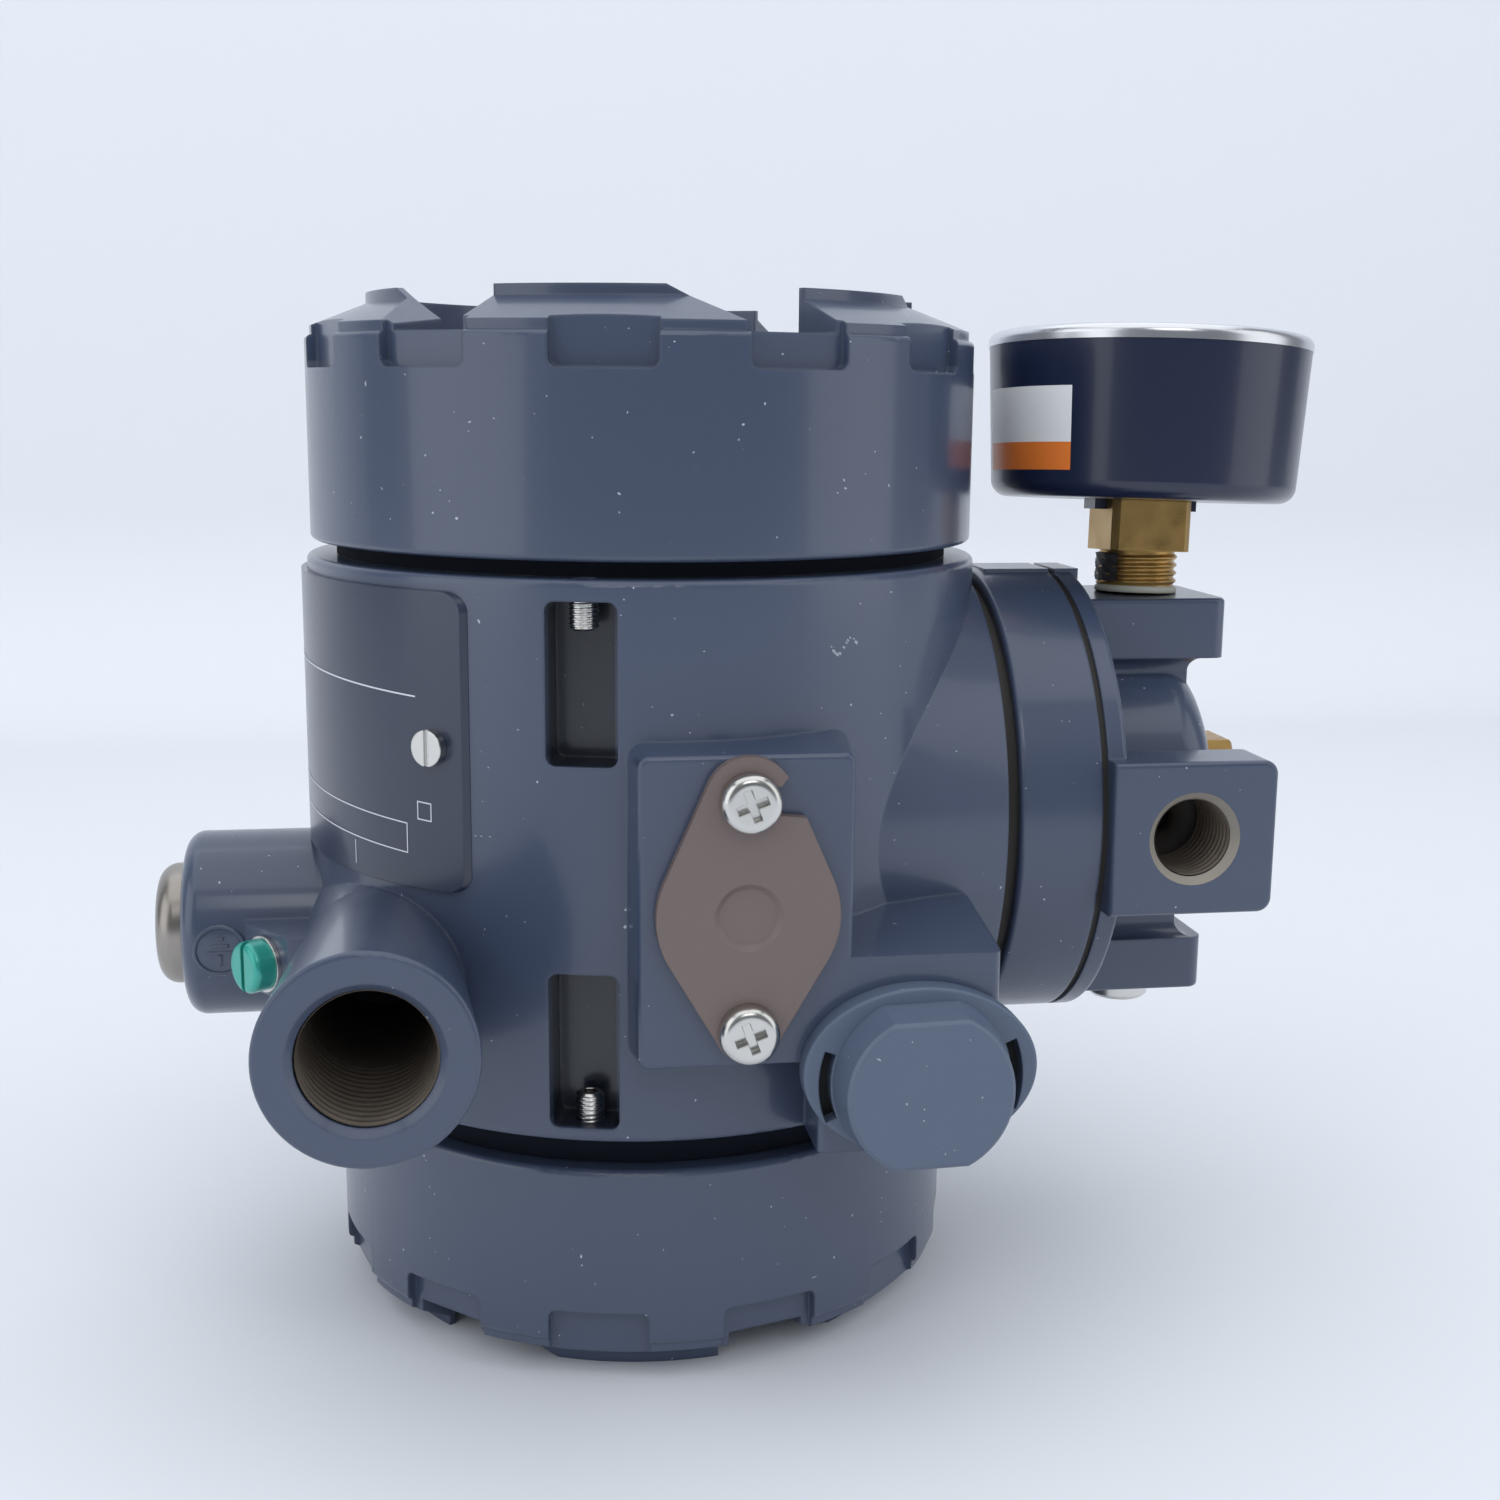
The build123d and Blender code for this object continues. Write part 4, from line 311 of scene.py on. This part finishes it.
# Painted shade: the housing paint is multiplied darker in the neck grooves and in the lock pockets.
painted_shade_boxes = [(NECK_LIMIT, (-FAR, -FAR, low), (FAR, FAR, high)) for low, high in (LOWER_NECK_Z, UPPER_NECK_Z)]
painted_shade_boxes.append((POCKET_LIMIT, POCKET_LOW, POCKET_HIGH))
paint_shade(body_paint_and_shade, painted_shade_boxes, PAINTED_SHADE_DEPTH)
give(body_paint_and_shade, "housing")
give(paint, "upper_cap", "lower_cap", "side_cover", "relay_body")

# Metals

stainless = surface("stainless", (0.66, 0.65, 0.62), 0.22, metallic=1.0, round_edge=0.0003, rough_vary=0.05)
steel = surface("steel", (0.45, 0.45, 0.46), 0.35, metallic=1.0)
bare_casting = surface("bare_casting", (0.26, 0.22, 0.18), 0.42, metallic=0.7, bump=0.2, vary=0.3,
                       vary_scale=250.0)
bare_edge = surface("bare_edge", (0.30, 0.27, 0.23), 0.5, metallic=0.4)
plug_steel = surface("plug_steel", (0.36, 0.33, 0.30), 0.32, metallic=1.0, vary=0.15, vary_scale=150.0)
brass = surface("brass", (0.46, 0.29, 0.10), 0.34, metallic=0.9, round_edge=0.0003, vary=0.2,
                vary_scale=150.0, rough_vary=0.08)
chrome = surface("chrome", (0.74, 0.75, 0.78), 0.26, metallic=1.0)
copper = surface("copper", (0.50, 0.20, 0.09), 0.35, metallic=0.9)
green = surface("earth_green", (0.03, 0.36, 0.29), 0.3, metallic=0.4, round_edge=0.0003, coat=0.5)
brown = surface("brown_plate", (0.165, 0.125, 0.117), 0.42, bump=0.04, bump_scale=1200.0, round_edge=0.0003,
                metallic=0.2)
give(stainless, "nameplate_screws", "filter_cover_screws", "ground_washer", "upper_lock_screw",
     "lower_lock_screw", "port_plugs", "terminal_screws", "terminal_clamps", "module_screws", "vent_screen")
give(steel, "side_cover_screws", "magnet_yoke", "magnets", "armature", "relay_springs", "zero_spring",
     "relay_piston")
give(plug_steel, "conduit_plug")
give(brass, "hub_plug", "gauge_socket", "nozzle", "zero_screw", "span_screw", "valve_seat", "valve_plug",
     "gauge_movement", "gauge_sector", "gauge_tube", "feedthrough_pins")
give(chrome, "gauge_bezel")
give(copper, "coil_winding")
give(green, "ground_screw")
give(brown, "filter_cover")

# Plastics, rubber, glass and prints

vent_plastic = surface("vent_plastic", (0.085, 0.112, 0.165), 0.42, bump=0.05, bump_scale=1500.0,
                       round_edge=0.0004, specks=0.4)
plate_navy = surface("plate_navy", (0.022, 0.030, 0.056), 0.28, round_edge=0.0002, coat=0.3)
plate_white = surface("plate_white", (0.6, 0.62, 0.66), 0.5)
case_navy = surface("case_navy", (0.007, 0.013, 0.040), 0.30, bump=0.05, bump_scale=700.0, coat=0.4)
rubber = surface("rubber", (0.012, 0.011, 0.010), 0.6)
gasket = surface("gasket", (0.022, 0.018, 0.014), 0.55)
label_white = surface("label_white", (0.80, 0.80, 0.79), 0.35)
label_orange = surface("label_orange", (0.80, 0.20, 0.03), 0.35)
tape = surface("tape", (0.40, 0.40, 0.34), 0.6, bump=0.3, bump_scale=900.0)
sealant = surface("sealant", (0.03, 0.028, 0.03), 0.5, bump=0.4, bump_scale=1200.0)
dial_white = surface("dial_white", (0.82, 0.82, 0.80), 0.4)
ink = surface("ink", (0.015, 0.015, 0.018), 0.5)
glass = surface("lens", (1.0, 1.0, 1.0), 0.02, transmission=1.0, ior=1.45)
module_black = surface("module_black", (0.03, 0.03, 0.033), 0.45, bump=0.05, round_edge=0.0003)
board = surface("board", (0.02, 0.13, 0.06), 0.35)
pale_plastic = surface("pale_plastic", (0.62, 0.60, 0.52), 0.45)
# Dark brownish bare metal inside the bores, made darker still as painted shade deep inside.
bore_metal_and_shade = surface("bore_metal_and_shade", (0.035, 0.028, 0.022), 0.6)
# Near-black for the painted shade on the vent slot floors.
slot_floor_shade = surface("slot_floor_shade", (0.004, 0.004, 0.006), 0.7)
# Near-black, low-specular sheet that paints the shade in the neck grooves.
groove_painted_shade = surface("groove_painted_shade", (0.006, 0.008, 0.014), 0.75, specular=0.1)
scuff = surface("scuff", (0.30, 0.32, 0.36), 0.6)
give(vent_plastic, "vent_base", "vent_cap")
give(plate_navy, "nameplate")
give(case_navy, "gauge_case")
give(rubber, "upper_cap_oring", "lower_cap_oring", "filter_oring", "module_oring", "relay_diaphragm")
give(gasket, "flange_gasket", "cover_gasket")
give(dial_white, "gauge_dial")
give(ink, "gauge_pointer")
give(glass, "gauge_lens")
give(module_black, "module_base", "module_cover", "terminal_block", "feedthrough")
give(board, "circuit_board")
give(pale_plastic, "coil_bobbin", "filter_element")

# Bores and threads

HALF_INCH_PITCH = 1.814
QUARTER_INCH_PITCH = 1.411
LOCK_PITCH = 0.7
RING_RISE = 0.02

CONDUIT_X, CONDUIT_Z = -45.5, 65.4
CONDUIT_FRONT, THROAT_FRONT = -78.9, -57.0
CONDUIT_VALLEY, CONDUIT_CREST = 9.88, 9.55
CONDUIT_LENGTH = 21.8
THROAT_EDGE, THROAT_RADIUS, THROAT_LENGTH = 9.86, 9.15, 30.0
thread("conduit_thread", (CONDUIT_X, CONDUIT_FRONT, CONDUIT_Z), Y, CONDUIT_VALLEY, CONDUIT_CREST,
       HALF_INCH_PITCH, CONDUIT_LENGTH, bare_casting, "housing")
# Dark sleeve deep in the conduit bore: painted shade.
lathe("conduit_throat", (CONDUIT_X, THROAT_FRONT, CONDUIT_Z), Y,
      [(THROAT_EDGE, 0.0), (THROAT_RADIUS, RING_RISE), (THROAT_RADIUS, THROAT_LENGTH)], bore_metal_and_shade, "housing")

PORT_X, PORT_Z = 86.4, 83.7
PORT_FRONT, PORT_THREAD_FRONT, PORT_END = -42.0, -40.8, -26.1
PORT_VALLEY, PORT_CREST, PORT_THREAD_LENGTH = 6.58, 6.3, 14.5
PORT_EDGE, PORT_HOLE, PORT_HOLE_END, PORT_HOLE_DEPTH = 6.59, 2.5, 2.45, 3.0
MOUTH_OUTER, MOUTH_INNER, MOUTH_DEPTH = 7.78, 6.57, 1.2
thread("air_port_thread", (PORT_X, PORT_THREAD_FRONT, PORT_Z), Y, PORT_VALLEY, PORT_CREST,
       QUARTER_INCH_PITCH, PORT_THREAD_LENGTH, bare_casting, "housing")
# The air port's end and passage: dark bare metal with painted shade.
lathe("air_port_end", (PORT_X, PORT_END, PORT_Z), Y,
      [(PORT_EDGE, 0.0), (PORT_HOLE, RING_RISE), (PORT_HOLE_END, PORT_HOLE_DEPTH)], bore_metal_and_shade, "housing")
lathe("air_port_mouth", (PORT_X, PORT_FRONT, PORT_Z), Y, [(MOUTH_OUTER, 0.0), (MOUTH_INNER, MOUTH_DEPTH)],
      bare_edge, "housing")

LOCK_VALLEY, LOCK_CREST, LOCK_LENGTH = 1.97, 2.22, 4.2
UPPER_LOCK_START = (-13.82, -52.31, 120.8)
LOWER_LOCK_START = (-13.31, -50.37, 44.0)
for side, start in (("upper", UPPER_LOCK_START), ("lower", LOWER_LOCK_START)):
    thread(side + "_lock_thread", start, Z, LOCK_VALLEY, LOCK_CREST, LOCK_PITCH, LOCK_LENGTH, stainless,
           side + "_lock")

# Near-black sleeves on the necks paint the shade in the gaps under the caps.
NECK_COUNT = 180
UPPER_NECK_RADIUS, UPPER_NECK_START, UPPER_NECK_HEIGHT = 52.06, 128.03, 2.6
LOWER_NECK_RADIUS, LOWER_NECK_START, LOWER_NECK_HEIGHT = 50.06, 36.0, 5.95
lathe("upper_neck_shade", (0.0, 0.0, UPPER_NECK_START), Z,
      [(UPPER_NECK_RADIUS, 0.0), (UPPER_NECK_RADIUS, UPPER_NECK_HEIGHT)], groove_painted_shade, "housing", NECK_COUNT)
lathe("lower_neck_shade", (0.0, 0.0, LOWER_NECK_START), Z,
      [(LOWER_NECK_RADIUS, 0.0), (LOWER_NECK_RADIUS, LOWER_NECK_HEIGHT)], groove_painted_shade, "housing", NECK_COUNT)

# The leaning gauge

GAUGE_X, GAUGE_FOOT_Z = 89.8, 120.0
LEAN_BACK, LEAN_RIGHT = -3.0, 1.8
FOOT = Vector((GAUGE_X, 0.0, GAUGE_FOOT_Z))
LEAN = Matrix.Rotation(math.radians(LEAN_BACK), 3, "X") @ Matrix.Rotation(math.radians(LEAN_RIGHT), 3, "Y")
UP = LEAN @ Vector(Z)


def gauge_point(radius, azimuth, z):
    """Point of the gauge in its leaning place, from its place if it stood upright."""
    return FOOT + LEAN @ (Vector(round_point(radius, azimuth, z, GAUGE_X)) - FOOT)


# Sticker on the case

CASE_RADIUS, CASE_SPREAD = 26.86, 1.5
CASE_BOTTOM, CASE_HEIGHT = 136.5, 26.3
STICKER_AZIMUTHS = (-96.0, -46.5)
STICKER_LOW, STICKER_MIDDLE, STICKER_HIGH = 141.0, 145.7, 155.1


def sticker_place(z, azimuth):
    return gauge_point(CASE_RADIUS + CASE_SPREAD * (z - CASE_BOTTOM) / CASE_HEIGHT, azimuth, z)


for name, low, high, material in (("sticker_white", STICKER_MIDDLE, STICKER_HIGH, label_white),
                                  ("sticker_orange", STICKER_LOW, STICKER_MIDDLE, label_orange)):
    sheet_of(name, sticker_place, (low, high), steps(*STICKER_AZIMUTHS, 20), material, "housing")

# Gauge socket

SOCKET_THREAD_START, SOCKET_THREAD_LENGTH = 0.4, 6.6
SOCKET_VALLEY, SOCKET_CREST = 6.66, 7.15
TAPE_START = 0.05
TAPE_PROFILE = [(7.15, 0.0), (7.35, 0.3), (7.25, 0.9), (6.9, 1.2), (6.6, 1.2)]
SEALANT_RADIUS, SEALANT_WAVE = 7.25, 0.25
SEALANT_Z = (122.0, 126.9)
SEALANT_AZIMUTHS = (-120.0, -48.0)


def sealant_place(z, azimuth):
    return gauge_point(SEALANT_RADIUS + SEALANT_WAVE * math.sin(z * 3.0 + azimuth * 0.2), azimuth, z)


thread("gauge_thread", FOOT + UP * SOCKET_THREAD_START, UP, SOCKET_VALLEY, SOCKET_CREST, QUARTER_INCH_PITCH,
       SOCKET_THREAD_LENGTH, brass, "housing")
lathe("gauge_tape", FOOT + UP * TAPE_START, UP, TAPE_PROFILE, tape, "housing")
sheet_of("gauge_sealant", sealant_place, steps(*SEALANT_Z, 9), steps(*SEALANT_AZIMUTHS, 16), sealant,
         "housing")

# Dial marks

DIAL_Z = 158.0
DIAL_START, DIAL_SWEEP = -135.0, 270.0
TICK_COUNT, LONG_EVERY = 50, 10
TICK_OUTER = 23.2
LONG_INNER, LONG_HALF = 20.4, 0.9
SHORT_INNER, SHORT_HALF = 21.4, 0.35
NUMBER_COUNT, NUMBER_STEP = 5, 20
NUMBER_RADIUS, NUMBER_HEIGHT = 17.0, 4.2
NUMBER_RIGHT = LEAN @ Vector((-1, 0, 0))
NUMBER_UP = LEAN @ Vector((0, -1, 0))


def number(name, text, place):
    """Plain figures lying on the dial."""
    curve = bpy.data.curves.new(name, "FONT")
    curve.body = text
    curve.size = NUMBER_HEIGHT
    curve.align_x = "CENTER"
    curve.align_y = "CENTER"
    curve.resolution_u = 3
    temporary = bpy.data.objects.new(name + "_text", curve)
    scene.collection.objects.link(temporary)
    shape = temporary.evaluated_get(bpy.context.evaluated_depsgraph_get()).to_mesh()
    points = [place + NUMBER_RIGHT * v.co.x + NUMBER_UP * v.co.y for v in shape.vertices]
    faces = [tuple(f.vertices) for f in shape.polygons]
    temporary.to_mesh_clear()
    bpy.data.objects.remove(temporary)
    piece(name, points, faces, ink, "housing", smooth=False)


tick_points, tick_faces = [], []
for index in range(TICK_COUNT + 1):
    turn = DIAL_START - DIAL_SWEEP * index / TICK_COUNT
    inner, half = (LONG_INNER, LONG_HALF) if index % LONG_EVERY == 0 else (SHORT_INNER, SHORT_HALF)
    corners = ((inner, -half), (TICK_OUTER, -half), (TICK_OUTER, half), (inner, half))
    tick_faces.append(tuple(range(len(tick_points), len(tick_points) + 4)))
    tick_points += [gauge_point(radius, turn + offset, DIAL_Z) for radius, offset in corners]
piece("dial_ticks", tick_points, tick_faces, ink, "housing", smooth=False)
for index in range(NUMBER_COUNT + 1):
    turn = DIAL_START - DIAL_SWEEP * index / NUMBER_COUNT
    number("dial_number_" + str(index), str(index * NUMBER_STEP), gauge_point(NUMBER_RADIUS, turn, DIAL_Z))

# Nameplate rules

PLATE_RADIUS = 58.06
PLATE_SLANT, SLANT_MIDDLE = 0.045, 44.0
LINE_WIDTH = 0.2


def plate_line(name, azimuths, heights):
    """White line on the nameplate, slanting with it."""
    def place(z, azimuth):
        return round_point(PLATE_RADIUS, azimuth, z - PLATE_SLANT * (azimuth + SLANT_MIDDLE))

    count = 2 + int(abs(azimuths[1] - azimuths[0]))
    sheet_of(name, place, heights, steps(*azimuths, count), plate_white, "housing")


def plate_frame(name, azimuths, heights):
    """Four lines round an empty box; their width is in millimetres up and in degrees across."""
    left, right = azimuths
    low, high = heights
    plate_line(name + "_low", azimuths, (low, low + LINE_WIDTH))
    plate_line(name + "_high", azimuths, (high - LINE_WIDTH, high))
    plate_line(name + "_left", (left, left + LINE_WIDTH), heights)
    plate_line(name + "_right", (right - LINE_WIDTH, right), heights)


plate_line("plate_rule", (-104.0, -41.8), (109.5, 109.75))
plate_frame("plate_box", (-86.0, -44.0), (85.0, 89.8))
plate_frame("plate_square", (-41.9, -39.1), (90.7, 93.6))
plate_line("plate_bar", (-57.2, -57.0), (80.6, 84.4))

# Earth sign on the left boss

BOSS_RADIUS, BOSS_Z = 15.9, 63.6
EARTH_X, EARTH_Z = -72.3, 62.8
EARTH_RADIUS, EARTH_WIRE, EARTH_LIFT = 4.15, 0.38, 0.32
BAR_TOP, BAR_FOOT = 0.25, -0.05
BARS = (("earth_stem", 0.3, 60.0, 62.2), ("earth_bar_1", 2.3, 62.2, 62.8), ("earth_bar_2", 1.5, 63.4, 64.0),
        ("earth_bar_3", 0.7, 64.6, 65.2))


def boss_front(x, z, lift):
    return x, -math.sqrt((BOSS_RADIUS + lift) ** 2 - (z - BOSS_Z) ** 2), z


def ring_place(turn, side):
    r = EARTH_RADIUS + EARTH_WIRE * math.cos(side)
    return boss_front(EARTH_X + r * math.cos(turn), EARTH_Z + r * math.sin(turn), EARTH_LIFT * math.sin(side))


def earth_bar(name, half, low, high):
    """Raised bar with its four sides running down into the boss."""
    def place(u, v):
        lift = BAR_TOP if abs(u) < 1.0 and abs(v) < 1.0 else BAR_FOOT
        return boss_front(EARTH_X + half * u, (low + high) / 2 + (high - low) / 2 * v, lift)

    sheet_of(name, place, (-1.0, -0.92, 0.92, 1.0), (-1.0, -0.75, 0.75, 1.0), body_paint_and_shade, "housing",
             smooth=False)


sheet_of("earth_ring", ring_place, steps(0.0, math.tau, 49), around(10), body_paint_and_shade, "housing", closed=True)
for bar in BARS:
    earth_bar(*bar)

# Worn spots

WORN_RADIUS = 57.04
SCRATCH_LEAST, SCRATCH_SPREAD = 0.35, 0.5


def worn(name, azimuths, z, count):
    """A few small scratches that bare the paint's pale undercoat, spread without a random draw."""
    points, faces = [], []
    for i in range(count):
        azimuth = azimuths[0] + (azimuths[1] - azimuths[0]) * ((i * 0.618) % 1.0)
        middle = z + 1.2 * math.sin(i * 2.4)
        length = SCRATCH_LEAST + SCRATCH_SPREAD * ((i * 0.37) % 1.0)
        faces.append(tuple(range(len(points), len(points) + 4)))
        for da, dz in ((-0.45, -0.07), (0.30, -length), (0.45, 0.07), (-0.30, length * 0.6)):
            points.append(round_point(WORN_RADIUS, azimuth + da * length, middle + dz * 0.6))
    piece(name, points, faces, scuff, "housing", smooth=False)


worn("scuff_right", (24.0, 29.0), 117.5, 11)
worn("scuff_centre", (-4.0, 6.0), 70.0, 3)

# Vent slots, their floors near-black as painted shade

VENT_X, VENT_Z = 34.9, 54.2
SLOT_Y = -65.06
SLOT_RADII = (13.85, 15.55)
SLOT_HALF_ANGLE = 20.5


def slot_place(r, turn):
    t = math.radians(turn)
    return VENT_X + r * math.cos(t), SLOT_Y, VENT_Z + r * math.sin(t)


for name, middle in (("vent_slot_right", 1.5), ("vent_slot_left", 181.5)):
    turns = steps(middle - SLOT_HALF_ANGLE, middle + SLOT_HALF_ANGLE, 14)
    sheet_of(name, slot_place, SLOT_RADII, turns, slot_floor_shade, "housing", smooth=False)

# Camera, solved from the photograph

SENSOR = 36.0
PHOTO_PIXELS = 1500
FOCAL_PIXELS = 1877.415
CAMERA_PLACE = (-0.031994, -0.326485, 0.154236)
CAMERA_RIGHT = Vector((0.988173, -0.153098, 0.008642))
CAMERA_UP = Vector((0.019918, 0.184035, 0.982718))
CAMERA_AHEAD = Vector((0.152043, 0.970923, -0.184908))

lens_data = bpy.data.cameras.new("camera")
lens_data.sensor_width = SENSOR
lens_data.lens = FOCAL_PIXELS / PHOTO_PIXELS * SENSOR
lens_data.clip_start = 0.01
lens_data.clip_end = 20.0
camera = bpy.data.objects.new("camera", lens_data)
turned = Matrix((CAMERA_RIGHT, CAMERA_UP, -CAMERA_AHEAD)).transposed().to_4x4()
camera.matrix_world = Matrix.Translation(CAMERA_PLACE) @ turned
scene.collection.objects.link(camera)
scene.camera = camera

# Floor and backdrop as one sweep

BEND = 0.10
WALL_Y, WALL_HEIGHT = 0.62, 1.6
FLOOR_FRONT = -1.6
HALF_WIDTH = 1.8

sweep_white = surface("sweep", (0.70, 0.715, 0.735), 0.7, specular=0.2)
outline = [(FLOOR_FRONT, 0.0), (WALL_Y - BEND, 0.0)]
for t in steps(0.1, math.pi / 2, 12):
    outline.append((WALL_Y - BEND + BEND * math.sin(t), BEND - BEND * math.cos(t)))
outline.append((WALL_Y, WALL_HEIGHT))
sweep_points = [(x, y, z) for x in (-HALF_WIDTH, HALF_WIDTH) for y, z in outline]
count = len(outline)
sweep_faces = [(i, i + count, i + 1 + count, i + 1) for i in range(count - 1)]
sweep = mesh_object("sweep", sweep_points, sweep_faces, sweep_white, True)
sweep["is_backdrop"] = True

# Lamps

PART_MIDDLE = (0.0, 0.0, 0.09)


def area_light(name, place, target, size, power, color):
    lamp = bpy.data.lights.new(name, "AREA")
    lamp.shape = "RECTANGLE"
    lamp.size, lamp.size_y = size
    lamp.energy = power
    lamp.color = color
    made = bpy.data.objects.new(name, lamp)
    made.location = place
    made.rotation_mode = "QUATERNION"
    made.rotation_quaternion = (Vector(target) - Vector(place)).to_track_quat("-Z", "Y")
    scene.collection.objects.link(made)
    made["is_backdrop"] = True


area_light("overhead", (0.0, 0.05, 1.15), (0.0, 0.1, 0.0), (1.6, 1.6), 8.5, (0.96, 0.98, 1.0))
area_light("left_box", (-1.05, -0.50, 0.45), PART_MIDDLE, (1.0, 1.2), 4.5, (0.95, 0.98, 1.0))
area_light("right_box", (1.05, -0.45, 0.45), PART_MIDDLE, (0.8, 1.2), 3.0, (0.97, 0.99, 1.0))
area_light("front", (0.05, -1.1, 0.95), PART_MIDDLE, (0.6, 0.4), 2.0, (0.98, 0.99, 1.0))

# World, weaker in reflections

SKY_COLOR = (0.80, 0.85, 0.95)
SKY_STRENGTH, GLOSSY_STRENGTH = 0.85, 0.20

world = bpy.data.worlds.new("room")
world.use_nodes = True
sky = world.node_tree
background = sky.nodes["Background"]
background.inputs["Color"].default_value = rgba(SKY_COLOR)
glossy = node(sky, "ShaderNodeLightPath").outputs["Is Glossy Ray"]
strength = map_range(sky, glossy, 0.0, 1.0, SKY_STRENGTH, GLOSSY_STRENGTH)
sky.links.new(strength, background.inputs["Strength"])
scene.world = world
scene.view_settings.view_transform = "Standard"

low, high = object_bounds()
